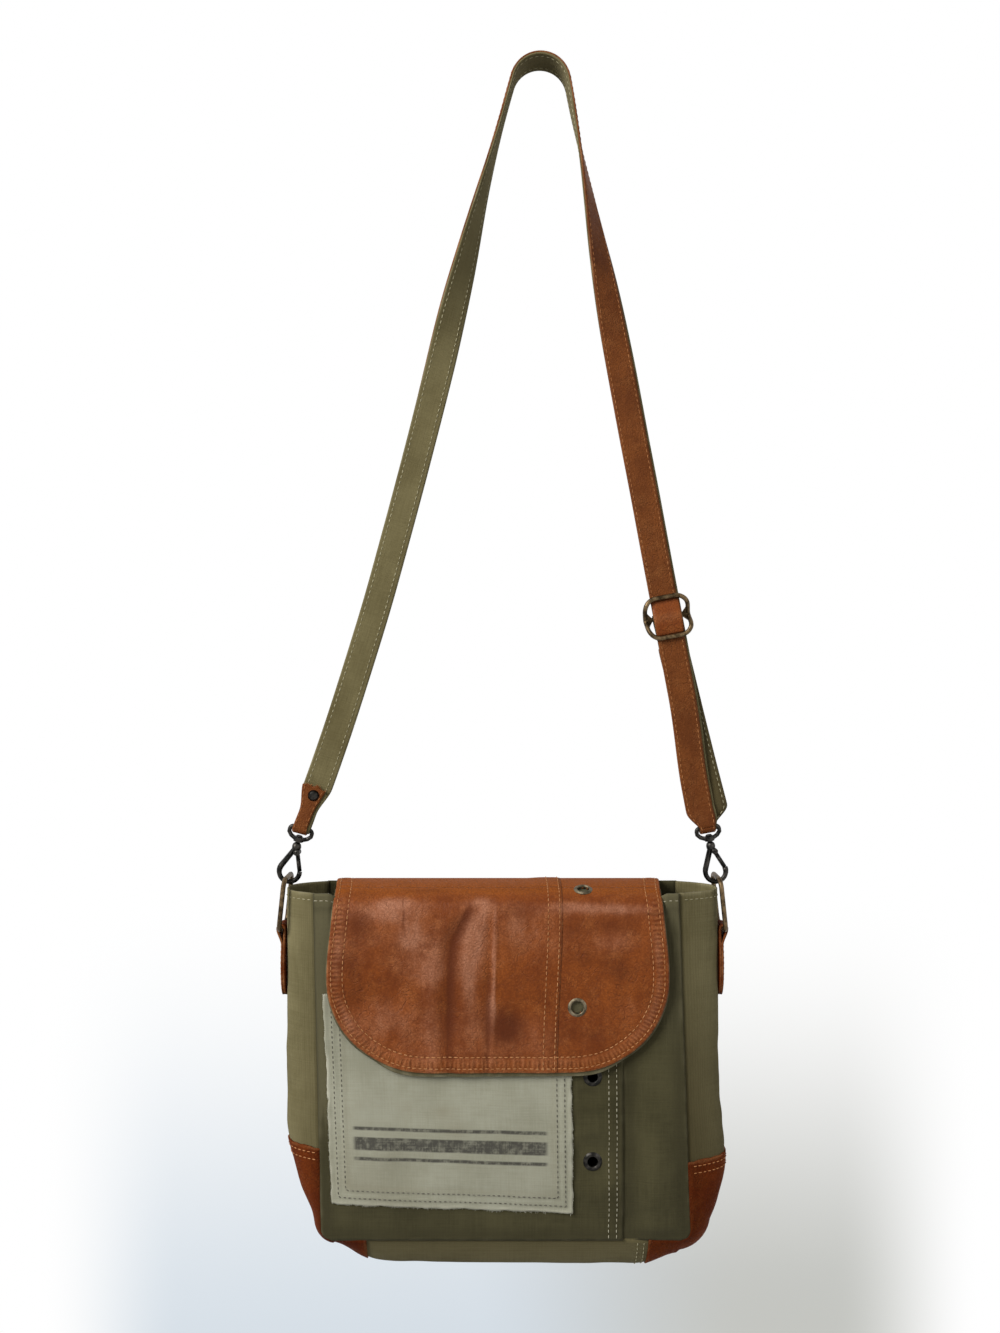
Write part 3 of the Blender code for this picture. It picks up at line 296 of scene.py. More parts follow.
leatherLooks = {
    "flap": {"deep": (0.078, 0.0150, 0.0020), "dark": (0.142, 0.0300, 0.0034), "mid": (0.262, 0.0660, 0.0095),
             "light": (0.350, 0.110, 0.025), "worn": (0.410, 0.170, 0.062), "paleToneAndSheen": (0.408, 0.177, 0.099),
             "amber": (0.282, 0.072, 0.0062), "grain": 720.0, "rough": 0.46, "coat": 0.04, "gloss": 0.14},
    "strap": {"deep": (0.060, 0.014, 0.002), "dark": (0.105, 0.028, 0.005), "mid": (0.186, 0.055, 0.011),
              "light": (0.255, 0.092, 0.026), "worn": (0.310, 0.140, 0.056), "paleToneAndSheen": (0.260, 0.110, 0.050),
              "amber": (0.230, 0.075, 0.014), "grain": 900.0, "rough": 0.56, "coat": 0.02, "gloss": 0.10},
    "corner": {"deep": (0.040, 0.006, 0.0008), "dark": (0.080, 0.0120, 0.0013), "mid": (0.165, 0.034, 0.0050),
               "light": (0.225, 0.066, 0.015), "worn": (0.300, 0.125, 0.046), "paleToneAndSheen": (0.230, 0.100, 0.055),
               "amber": (0.200, 0.062, 0.012), "grain": 850.0, "rough": 0.68, "coat": 0.0, "gloss": 0.06},
}
# thread pulls the sewn border of the leather into small puckers, whose crests carry a painted highlight and whose
# troughs carry painted shade
puckers = {"pitch": 0.0033, "drift": 9.0, "worn": 0.26, "deep": 0.34, "rise": 0.35}
metalLooks = {
    "brass": {"dark": (0.030, 0.020, 0.010), "bright": (0.165, 0.112, 0.058), "rough": 0.34},
    "pale": {"dark": (0.058, 0.046, 0.028), "bright": (0.215, 0.178, 0.118), "rough": 0.38},
    "black": {"dark": (0.010, 0.010, 0.009), "bright": (0.045, 0.041, 0.036), "rough": 0.28},
}
threadLooks = {
    "tan": ((0.330, 0.130, 0.042), (0.480, 0.225, 0.090)),
    "amber": ((0.235, 0.082, 0.022), (0.350, 0.145, 0.050)),
    "cream": ((0.360, 0.325, 0.225), (0.520, 0.485, 0.360)),
    "olive": ((0.270, 0.240, 0.140), (0.380, 0.345, 0.215)),
    "dark": ((0.068, 0.062, 0.048), (0.150, 0.140, 0.108)),
    "pale": ((0.520, 0.500, 0.410), (0.660, 0.640, 0.540)),
}


def paintCanvas(name, look):
    paint = Paint(name, {"Specular IOR Level": 0.08, "Sheen Weight": 0.03, "Sheen Roughness": 0.6})
    cut = paint.coords("UV")
    spot = paint.coords("Object")
    turn = math.pi / look["yarn"]
    dome = ((paint.split(cut, 0) * turn).wave() * (paint.split(cut, 1) * turn).wave()).size() ** 0.6
    warp = paint.cloud(paint.stretch(cut, (1050.0, 40.0, 1.0)), 1.0, 2.0)
    weft = paint.cloud(paint.stretch(cut, (40.0, 1050.0, 1.0)), 1.0, 2.0)
    blotch = paint.cloud(spot, 24.0, 6.0, 0.62)
    fade = paint.cloud(spot, 6.5, 3.0, 0.5)
    tone = (blotch * 0.45 + fade * 0.25 + warp * 0.15 + weft * 0.15).ease(0.36, 0.64)
    colour = paint.mix(tone, look["dark"], look["light"])
    colour = paint.mix((paint.mark("wear") * (0.35 + warp)).ease(0.05, 0.95), colour, look["faded"])
    # grimeAndShade darkens towards its dark tone: partly dirt, partly painted shade along seams, edges and shaded sides
    colour = paint.mix(paint.mark("grimeAndShade") * (0.45 + blotch * 0.6), colour, look["grimeAndShade"])
    if "ink" in look:
        # worn ink stripes, thin either side of a wide one, rubbed off the high yarns
        across, down = paint.split(cut, 0), paint.split(cut, 1) + (fade - 0.5) * 0.004
        ends = across.ease(look["stripeEnds"][0] - 0.002, look["stripeEnds"][0] + 0.002)
        ends = ends * (1.0 - across.ease(look["stripeEnds"][1] - 0.002, look["stripeEnds"][1] + 0.002))
        bars = 0.0
        for top, foot in look["stripes"]:
            bars = bars + down.ease(top - 0.0006, top + 0.0006) * (1.0 - down.ease(foot - 0.0006, foot + 0.0006))
        rubbed = (paint.cloud(spot, 260.0, 4.0, 0.6) * 0.6 + warp * 0.25 + weft * 0.25).ease(0.40, 0.62)
        colour = paint.mix(bars * ends * (0.42 + rubbed * 0.50), colour, look["ink"])
    # painted shade in the hollows of the weave
    colour = paint.mix((1.0 - dome) * 0.30, colour, look["grimeAndShade"])
    height = dome * 0.6 + (warp + weft) * 0.4
    paint.feed(colour=colour, rough=0.96 - dome * 0.14, normal=paint.bump(height, look["yarn"] * 0.30, 0.8))
    return paint.mat


def paintLeather(name, look):
    paint = Paint(name, {"Specular IOR Level": look["gloss"], "Coat Roughness": 0.30})
    spot = paint.coords("Object")
    mottle = paint.cloud(spot, 17.0, 7.0, 0.64, 0.6)
    smoke = paint.cloud(spot, 70.0, 5.0, 0.60)
    streak = paint.cloud(paint.stretch(spot, (95.0, 95.0, 26.0)), 1.0, 5.0, 0.62)
    speckle = paint.cloud(spot, 240.0, 3.0, 0.62)
    fine = paint.cloud(spot, 560.0, 3.0, 0.6)
    grain = paint.cells(spot, look["grain"])
    drift = paint.node("ShaderNodeTexNoise", None, {"Vector": spot, "Scale": 40.0}, "Color")
    bent = paint.mix(0.08, spot, drift)
    lines = (1.0 - paint.cells(bent, 58.0, "DISTANCE_TO_EDGE").ease(0.0, 0.06)) * mottle.ease(0.42, 0.60)
    wrinkles = (1.0 - paint.cells(bent, 190.0, "DISTANCE_TO_EDGE").ease(0.0, 0.12)) * smoke.ease(0.36, 0.62)
    crease, wear, paleToneAndSheen, amber = (paint.mark(key) for key in ("crease", "wear", "paleToneAndSheen", "amber"))
    pucker = (paint.mark("along") * (2 * math.pi / puckers["pitch"]) + (streak - 0.5) * puckers["drift"]).wave()
    border = paint.mark("border") * (0.4 + streak * 1.2)
    tone = (mottle * 0.50 + streak * 0.28 + speckle * 0.10 + fine * 0.12).ease(0.38, 0.62)
    colour = paint.mix(tone, look["dark"], look["mid"])
    colour = paint.mix((smoke * 0.75 + speckle * 0.25).ease(0.46, 0.72) * 0.55, colour, look["light"])
    # paleToneAndSheen with the mottling paints a pinkish painted sheen and paler patches
    shine = (paleToneAndSheen * (0.15 + streak * 0.9 + (smoke - 0.5) * 0.9 + (speckle - 0.5) * 0.45)).ease(0.05, 0.85)
    colour = paint.mix(shine * 0.85, colour, look["paleToneAndSheen"])
    # amber paints the roll and top more orange and rougher, as they look lit from above without glare (painted light);
    # it also marks a band along the lower border
    colour = paint.mix(amber * (0.80 + (smoke - 0.5) * 0.6), colour, look["amber"])
    # crease marks painted darker: partly darker creased leather, partly painted shade in folds, grooves and seams
    colour = paint.mix((crease * (0.55 + mottle * 0.8)).ease(0.05, 0.95) * 0.88, colour, look["deep"])
    colour = paint.mix((wear * (0.4 + fine * 0.9)).ease(0.1, 0.95) * 0.80, colour, look["worn"])
    # painted highlight on the pucker crests and painted shade in their troughs
    colour = paint.mix(border * pucker.ease(-0.1, 0.9) * puckers["worn"], colour, look["worn"])
    colour = paint.mix(border * (0.0 - pucker).ease(-0.2, 0.9) * puckers["deep"], colour, look["deep"])
    colour = paint.mix(lines * 0.12 + wrinkles * 0.13 + grain.ease(0.22, 0.72) * 0.30, colour, look["deep"])
    relief = smoke * 0.7 + speckle * 0.35 - lines * 0.5 - wrinkles * 0.4 + border * pucker * puckers["rise"]
    folds = paint.bump(relief, 0.0007, 0.6)
    rough = look["rough"] + (smoke - 0.5) * 0.4 + grain * 0.10 + crease * 0.12 + amber * 0.30
    paint.feed(colour=colour, rough=rough, coat=look["coat"] * (0.3 + mottle * 1.4),
               normal=paint.bump(1.0 - grain * 0.9 + fine * 0.5, 0.00028, 0.9, folds))
    return paint.mat


def paintMetal(name, look):
    paint = Paint(name, {"Metallic": 1.0})
    spot = paint.coords("Object")
    rub = paint.cloud(spot, 210.0, 5.0, 0.6)
    specks = paint.cloud(spot, 1500.0, 2.0)
    colour = paint.mix((rub * 0.8 + specks * 0.2).ease(0.36, 0.66), look["dark"], look["bright"])
    paint.feed(colour=colour, rough=look["rough"] + specks * 0.22, normal=paint.bump(specks, 0.00004, 0.5))
    return paint.mat


def paintThread(name, tones):
    paint = Paint(name, {"Specular IOR Level": 0.25})
    spot = paint.coords("Object")
    fuzz = paint.cloud(spot, 2600.0, 2.0)
    colour = paint.mix((paint.cloud(spot, 90.0, 3.0) * 0.7 + fuzz * 0.3).ease(0.35, 0.65), tones[0], tones[1])
    paint.feed(colour=colour, rough=0.72 + fuzz * 0.2, normal=paint.bump(fuzz, 0.0001, 0.6))
    return paint.mat


canvas = {key: paintCanvas(key + "Canvas", look) for key, look in canvasLooks.items()}
leather = {key: paintLeather(key + "Leather", look) for key, look in leatherLooks.items()}
metal = {key: paintMetal(key + "Metal", look) for key, look in metalLooks.items()}
thread = {key: paintThread(key + "Thread", tones) for key, tones in threadLooks.items()}
print("finishes made")


# mesh helpers

def ease(value, low, high):
    share = min(max((value - low) / (high - low), 0.0), 1.0)
    return share * share * (3.0 - 2.0 * share)


def blendTo(first, second, share):
    return first + (second - first) * share


def ripple(x, z, scale, seed):
    return noise.noise(Vector((x * scale, seed, z * scale)))


def waveSum(x, z, waves, shift=0.0):
    return sum(k * ripple(x * across, z * down, scale, seed + shift) for k, across, down, scale, seed in waves)


def nearMark(distance, reach):
    return math.exp(-(distance / reach) ** 2)


def softMarks(x, drop, marks):
    return sum(k * math.exp(-((x - mx) / w) ** 2 - ((drop - md) / h) ** 2) for mx, md, w, h, k in marks)


def spread(count):
    return [k / (count - 1) for k in range(count)]


markKeys = ("wear", "grimeAndShade", "crease", "paleToneAndSheen", "amber", "border", "along")


def layGrid(name, points, cuts, marks=None, wrap=False, flip=False):
    rows, cols = len(points), len(points[0])
    verts = [p for row in points for p in row]
    faces, loops = [], []
    for i in range(rows - 1):
        for j in range(cols if wrap else cols - 1):
            k = (j + 1) % cols
            face = [i * cols + j, i * cols + k, (i + 1) * cols + k, (i + 1) * cols + j]
            corner = [cuts[i][j], cuts[i][j + 1], cuts[i + 1][j + 1], cuts[i + 1][j]]
            faces.append(face[::-1] if flip else face)
            loops += corner[::-1] if flip else corner
    mesh = bpy.data.meshes.new(name)
    mesh.from_pydata(verts, [], faces)
    mesh.uv_layers.new(name="cut").data.foreach_set("uv", np.array(loops, np.float32).ravel())
    for key in markKeys:
        values = (marks or {}).get(key)
        flat = [v for row in values for v in row] if values else [0.0] * len(verts)
        mesh.attributes.new(key, "FLOAT", "POINT").data.foreach_set("value", np.array(flat, np.float32))
    mesh.shade_smooth()
    obj = bpy.data.objects.new(name, mesh)
    bpy.context.scene.collection.objects.link(obj)
    return obj


def bakeMesh(obj):
    graph = bpy.context.evaluated_depsgraph_get()
    graph.update()
    mesh = bpy.data.meshes.new_from_object(obj.evaluated_get(graph), preserve_all_data_layers=True, depsgraph=graph)
    old = obj.data
    obj.modifiers.clear()
    obj.data = mesh
    bpy.data.meshes.remove(old)
    mesh.name = obj.name
    return obj


def thicken(obj, depth):
    wall = obj.modifiers.new("wall", "SOLIDIFY")
    wall.thickness = depth
    wall.offset = -1.0
    wall.use_even_offset = True
    return bakeMesh(obj)


def punch(obj, spots, radius):
    # open the eyelet holes: drop the faces whose middle lies inside
    work = bmesh.new()
    work.from_mesh(obj.data)
    inside = [f for f in work.faces if any((f.calc_center_median() - spot).length < radius for spot in spots)]
    bmesh.ops.delete(work, geom=inside, context="FACES")
    work.to_mesh(obj.data)
    work.free()
    return obj


def laySkin(name, cells, keys, depth, flip=False, holes=None, radius=0.0):
    # each cell gives its place, its cut and one mark for every key
    points, cuts, *marks = ([[cell[n] for cell in line] for line in cells] for n in range(len(keys) + 2))
    obj = layGrid(name, points, cuts, dict(zip(keys, marks)), flip=flip)
    if holes is not None:
        punch(obj, holes, radius)
    return thicken(obj, depth)


def joinPieces(name, parts):
    for other in bpy.context.view_layer.objects:
        other.select_set(other in parts)
    bpy.context.view_layer.objects.active = parts[0]
    bpy.ops.object.join()
    whole = parts[0]
    whole.name = name
    whole.data.name = name
    whole.select_set(False)
    return whole


def settle(obj, mat, slot, body=None, between=None, nodes=()):
    obj.data.materials.clear()
    obj.data.materials.append(mat)
    if between:
        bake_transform(obj)
    else:
        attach(obj, body)
    if nodes:
        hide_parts(*nodes)
    return obj


# bag body, places given from its centre line and down from its rim

body = {
    "centreX": -0.028, "rimZ": -0.612, "height": 0.250, "halfDepth": 0.022, "corner": 0.008, "wall": 0.0012,
    "leftTop": -0.1365, "leftFoot": -0.1305, "rightTop": 0.1275, "rightFoot": 0.1360, "backHalf": 0.133,
    "seamX": 0.0868, "lap": 0.0115, "hem": 0.0105, "hemRow": 0.0052,
    "tuck": 0.0042, "tuckFrom": 0.1135, "tuckTo": 0.1225, "tuckX": -0.0032,
    "eyelets": ((0.065, 0.132), (0.065, 0.193)), "eyeletHole": 0.0050, "eyeletCalm": (0.008, 0.024),
    # the strips that the flap leaves bare are painted paler, the left one more than the right: foot, strength, loss
    # below the rim
    "paleStrips": {"left": (0.135, 1.0, 0.0), "right": (0.075, 0.9, 0.4)}, "paleStripFrom": (0.106, 0.120),
    "paleStripDip": (0.005, 0.030), "paleStripFade": 0.060, "leanFoot": 0.030, "sagFoot": 0.020, "rimSpare": 0.004,
    # the right piece dips behind the left one at the lap
    "lapDip": 0.0013, "lapDipX": (0.112, 0.094), "seamWander": 0.0004,
}
# how the front hangs: fullness below the flap, waves, a slanting pull and the belly of the right strip
frontHang = {
    "calm": 0.030, "least": -0.0008, "full": 0.0026, "fullTop": (0.120, 0.180), "fullFoot": (0.205, 0.250),
    # waves: height, stretch across and down, ripples to the metre, seed
    "waves": ((0.0016, 1.0, 0.6, 13.0, 3.1), (0.0008, 1.3, 1.0, 31.0, 7.7)), "wavesTop": (0.110, 0.160),
    "underFlap": 0.35, "pull": (0.0012, 26.0, 5.2), "pullTop": (0.15, 0.24), "belly": 0.0026, "bellyX": 0.113,
    "bellyReach": 0.007, "bellyGrows": 0.10, "bellyFrom": 0.14, "bellyTop": (0.130, 0.200), "bellyEdge": 0.012,
}
gussetShape = {
    "power": 2.7, "sideLength": 0.242, "arcLength": 0.01257, "bottomLength": 0.125, "rise": 0.0011, "seat": 0.0008,
    "folds": ((0.0013, 0.030, 1.0, 30.0, 11.0), (0.0007, 0.02, 1.0, 75.0, 5.0)), "calm": 0.03,
    "tabFoot": (0.085, 0.13), "tabSide": (0.50, 0.85),
    "left": ((0.0, 0.0245), (0.176, 0.0245), (0.186, 0.0226), (0.195, 0.0198), (0.203, 0.0168), (0.212, 0.0138),
             (0.220, 0.0106), (0.229, 0.0063), (0.240, 0.0028), (0.248, 0.0020), (0.2546, 0.0032), (0.262, 0.0084),
             (0.270, 0.0144), (0.279, 0.0202), (0.292, 0.0232), (0.320, 0.0240), (0.380, 0.0244)),
    "right": ((0.0, 0.0245), (0.130, 0.0255), (0.150, 0.0262), (0.175, 0.0278), (0.195, 0.0300), (0.210, 0.0291),
              (0.225, 0.0244), (0.240, 0.0180), (0.248, 0.0138), (0.2546, 0.0128), (0.262, 0.0170),
              (0.272, 0.0222), (0.284, 0.0246), (0.320, 0.0248), (0.380, 0.0244)),
}


def bagPoint(x, y, drop):
    return Vector((body["centreX"] + x, y, body["rimZ"] - drop))


def softRamp(value, stops, reach=0.007):
    total = 0.0
    for k in (-1.0, -0.5, 0.0, 0.5, 1.0):
        total += float(np.interp(value + k * reach, [a for a, b in stops], [b for a, b in stops]))
    return total / 5.0


def frontEdge(side, drop):
    share = min(max(drop / body["height"], 0.0), 1.0)
    if side < 0:
        return blendTo(body["leftTop"], body["leftFoot"], share)
    return blendTo(body["rightTop"], body["rightFoot"], share)


def cornerIn(drop):
    radius = body["corner"]
    past = drop - (body["height"] - radius)
    return radius - math.sqrt(max(radius * radius - past * past, 0.0)) if past > 0 else 0.0


def frontY(x, drop):
    # calm at the seams and round the eyelets
    hang = frontHang
    edge = min(x - frontEdge(-1, drop), frontEdge(1, drop) - x, body["height"] - drop, drop + body["rimSpare"])
    calm = ease(edge, 0.0, hang["calm"])
    for ex, ed in body["eyelets"]:
        calm *= ease(math.hypot(x - ex, drop - ed), *body["eyeletCalm"])
    full = hang["full"] * ease(drop, *hang["fullTop"]) * (1.0 - ease(drop, *hang["fullFoot"]))
    height, scale, seed = hang["pull"]
    pull = height * ripple(x * 0.4 + drop * 0.5, drop - x * 0.3, scale, seed) * ease(drop, *hang["pullTop"])
    waves = waveSum(x, drop, hang["waves"]) + pull
    swell = (full + waves * blendTo(hang["underFlap"], 1.0, ease(drop, *hang["wavesTop"]))) * calm
    reach = hang["bellyReach"] + hang["bellyGrows"] * max(drop - hang["bellyFrom"], 0.0)
    belly = hang["belly"] * nearMark(x - hang["bellyX"], reach) * ease(drop, *hang["bellyTop"])
    swell += belly * ease(min(frontEdge(1, drop) - x, body["height"] - drop), 0.0, hang["bellyEdge"])
    return -body["halfDepth"] - max(swell, hang["least"])


def tuckIn(x, drop):
    # the flap presses the front rim inwards and down
    under = body["tuck"] * (1.0 - ease(abs(x - body["tuckX"]), body["tuckFrom"], body["tuckTo"]))
    return under * (1.0 - ease(drop, 0.0, body["leanFoot"])), under * (1.0 - ease(drop, 0.0, body["sagFoot"]))


def frontSpot(x, drop, lift):
    lean, sag = tuckIn(x, drop)
    return bagPoint(x, frontY(x, drop) - lift + lean, drop + sag)


def paleStripAt(x, drop):
    foot, share, loss = body["paleStrips"]["left" if x < 0 else "right"]
    share = share - loss * ease(drop, *body["paleStripDip"])
    return share * ease(abs(x), *body["paleStripFrom"]) * (1.0 - ease(drop, foot, foot + body["paleStripFade"]))


def makePanel(name, node, leftAt, rightAt, yAt, cols, rows, flip, roundLeft, roundRight, seams, eyelets=()):
    cells = []
    for r in spread(rows):
        drop = body["height"] * r
        inset = cornerIn(drop)
        left = leftAt(drop) + (inset if roundLeft else 0.0)
        right = rightAt(drop) - (inset if roundRight else 0.0)
        hem = 0.0004 * ease(drop, body["hem"] + 0.001, body["hem"]) - 0.0003 * nearMark(drop - body["hemRow"], 0.0011)
        line = []
        for c in spread(cols):
            x = blendTo(left, right, c)
            y = yAt(x, drop)
            lean, sag = tuckIn(x, drop) if y < 0 else (0.0, 0.0)
            near = min([abs(x - s(drop)) for s in seams] + [body["height"] - drop])
            rub = 0.5 + ripple(x, drop, 120.0, 2.0)
            bare = paleStripAt(x, drop) if y < 0 else 0.0
            wear = 0.9 * rub * (nearMark(near, 0.0022) + 0.8 * nearMark(drop, 0.0020)) + 1.1 * bare
            # darker just in from each seam and along the hem, partly dirt, partly painted shade; a thin painted shadow
            # line at the edges of the paler strips
            grimeAndShade = 0.55 * nearMark(near - 0.004, 0.006) * (1.0 - bare) + 0.9 * bare * nearMark(near, 0.0012)
            grimeAndShade += 0.25 * nearMark(drop - body["hem"], 0.004)
            line.append((bagPoint(x, y + math.copysign(hem, y) + lean, drop + sag), (x, drop), wear, grimeAndShade))
        cells.append(line)
    holes = [bagPoint(ex, yAt(ex, ed), ed) for ex, ed in eyelets]
    obj = laySkin(name, cells, ("wear", "grimeAndShade"), body["wall"], flip, holes, body["eyeletHole"])
    return settle(obj, canvas["front"], "olive_canvas", "bag", nodes=[node])


def seamAt(drop):
    return body["seamX"] + body["seamWander"] * ripple(0.0, drop, 60.0, 4.0)


def leftEdge(drop):
    return frontEdge(-1, drop)


def rightEdge(drop):
    return frontEdge(1, drop)


def lapStart(drop):
    return body["seamX"] - body["lap"]


def lappedY(x, drop):
    return frontY(x, drop) + body["lapDip"] * ease(x, *body["lapDipX"])


def backY(x, drop):
    calm = ease(min(body["backHalf"] - abs(x), body["height"] - drop, drop - 0.045), 0.0, 0.03)
    return body["halfDepth"] + (0.0010 * ripple(x, drop, 12.0, 21.0) + 0.0006) * calm


def backLeft(drop):
    return -body["backHalf"]


def backRight(drop):
    return body["backHalf"]


makePanel("frontPanelLeft", "front_panel_left", leftEdge, seamAt, frontY, 110, 120, True, True, False,
          [leftEdge, seamAt], body["eyelets"])
makePanel("frontPanelRight", "front_panel_right", lapStart, rightEdge, lappedY, 40, 120, True, False, True,
          [seamAt, rightEdge])
makePanel("backPanel", "back_panel", backLeft, backRight, backY, 90, 90, False, True, True, [backLeft, backRight])
print("panels made")


def gussetPlace(side, s, q, lift):
    # s down the side from the rim, round the corner and along the bottom; q from the front edge to the back edge
    shape = gussetShape
    radius = body["corner"]
    share = (q + 1.0) / 2.0
    edge = blendTo(frontEdge(side, min(s, body["height"])), side * body["backHalf"], share)
    turn = min(max((s - shape["sideLength"]) / shape["arcLength"], 0.0), 1.0) * math.pi / 2
    centreX = edge - side * radius
    along = max(s - shape["sideLength"] - shape["arcLength"], 0.0) / shape["bottomLength"]
    x = centreX + side * radius * math.cos(turn)
    if along > 0:
        x = centreX * (1.0 - along)
    drop = min(s, shape["sideLength"]) + radius * math.sin(turn)
    out = Vector((side * math.cos(turn), 0.0, -math.sin(turn)))
    bulge = softRamp(s, shape["left" if side < 0 else "right"])
    profile = 1.0 - abs(q) ** shape["power"]
    folds = waveSum(q, s, shape["folds"], side)
    ridge = abs(edge) - body["backHalf"] if along <= 0 else 0.0
    underTab = (1.0 - ease(s, *shape["tabFoot"])) * (1.0 - ease(abs(q), *shape["tabSide"]))
    bottomCalm = (1.0 - along) * (1.0 - underTab)
    half = body["halfDepth"] - body["wall"] * 0.9
    full = bulge + body["wall"] - ridge + folds * bottomCalm * ease(s, 0.0, shape["calm"])
    away = (full + shape["rise"]) * profile - shape["seat"] + lift
    lean = shape["power"] * bulge * q * abs(q) ** (shape["power"] - 2.0) / half
    y = q * half + lift * lean / math.hypot(1.0, lean)
    return bagPoint(x, y, drop) + out * (away - lift + lift / math.hypot(1.0, lean))


def makeGusset(name, stations, lift, mat, slot, node, flip, cutEdge=None, cols=36):
    start, end, far, cells = stations[0][1], stations[-1][1], 0.0, []
    for k, (side, at) in enumerate(stations):
        far += abs(at - stations[k - 1][1]) if k else 0.0
        slack = 1.0 - k / (len(stations) - 1)
        line = []
        for c in spread(cols):
            q = 2.0 * c - 1.0
            s = at + (cutEdge(q) * slack if cutEdge else 0.0)
            inside = (1.0 - abs(q)) * 0.02
            tip = min(s - start, end - s) if cutEdge else s - start
            rub = 0.6 + ripple(q * 0.03, s, 140.0, 9.0)
            # painted shade: the right gusset darker down its middle, away from the key light; both darker along their
            # seams and further down, partly dirt, partly painted shade
            shaded = 0.40 * ease(s, 0.05, 0.13) * (1.0 - ease(s, 0.22, 0.26)) if side > 0 else 0.0
            wear = rub * (0.9 * nearMark(tip, 0.0022) + 0.35 * nearMark(q, 0.10))
            grimeAndShade = 0.5 * nearMark(inside, 0.006) + 0.2 * ease(s, 0.13, 0.2) + shaded
            line.append((gussetPlace(side, s, q, lift), (q * 0.028, far), wear, grimeAndShade, 0.6 * nearMark(inside, 0.004)))
        cells.append(line)
    obj = laySkin(name, cells, ("wear", "grimeAndShade", "crease"), cornerDepth if cutEdge else body["wall"], flip)
    return settle(obj, mat, slot, "bag", nodes=[node])


def cutTop(q):
    return 0.0012 * ripple(q, 0.3, 9.0, 4.0)


cornerDepth = 0.0013
cornerSpans = {-1: (0.1835, 0.2795), 1: (0.1935, 0.2765)}
bottomFrom, bottomMid = 0.2470, gussetShape["sideLength"] + gussetShape["arcLength"] + gussetShape["bottomLength"]
for side, word in ((-1, "Left"), (1, "Right")):
    low = word.lower()
    makeGusset("gusset" + word, [(side, s) for s in np.linspace(0.0, 0.2475, 150)], 0.0, canvas["side"], "light_canvas",
               "gusset_" + low, side > 0)
    makeGusset("corner" + word, [(side, s) for s in np.linspace(*cornerSpans[side], 70)], cornerDepth,
               leather["corner"], "dark_leather", "corner_" + low, side > 0, cutTop)
bottomRun = [(-1, s) for s in np.linspace(bottomFrom, bottomMid, 90)]
bottomRun += [(1, s) for s in np.linspace(bottomMid, bottomFrom, 90)[1:]]
makeGusset("gussetBottom", bottomRun, 0.0, canvas["side"], "light_canvas", "gusset_bottom", False)
print("gussets and corners made")


# flap: one continuous skin from the strip on the back, over the mouth and down the front

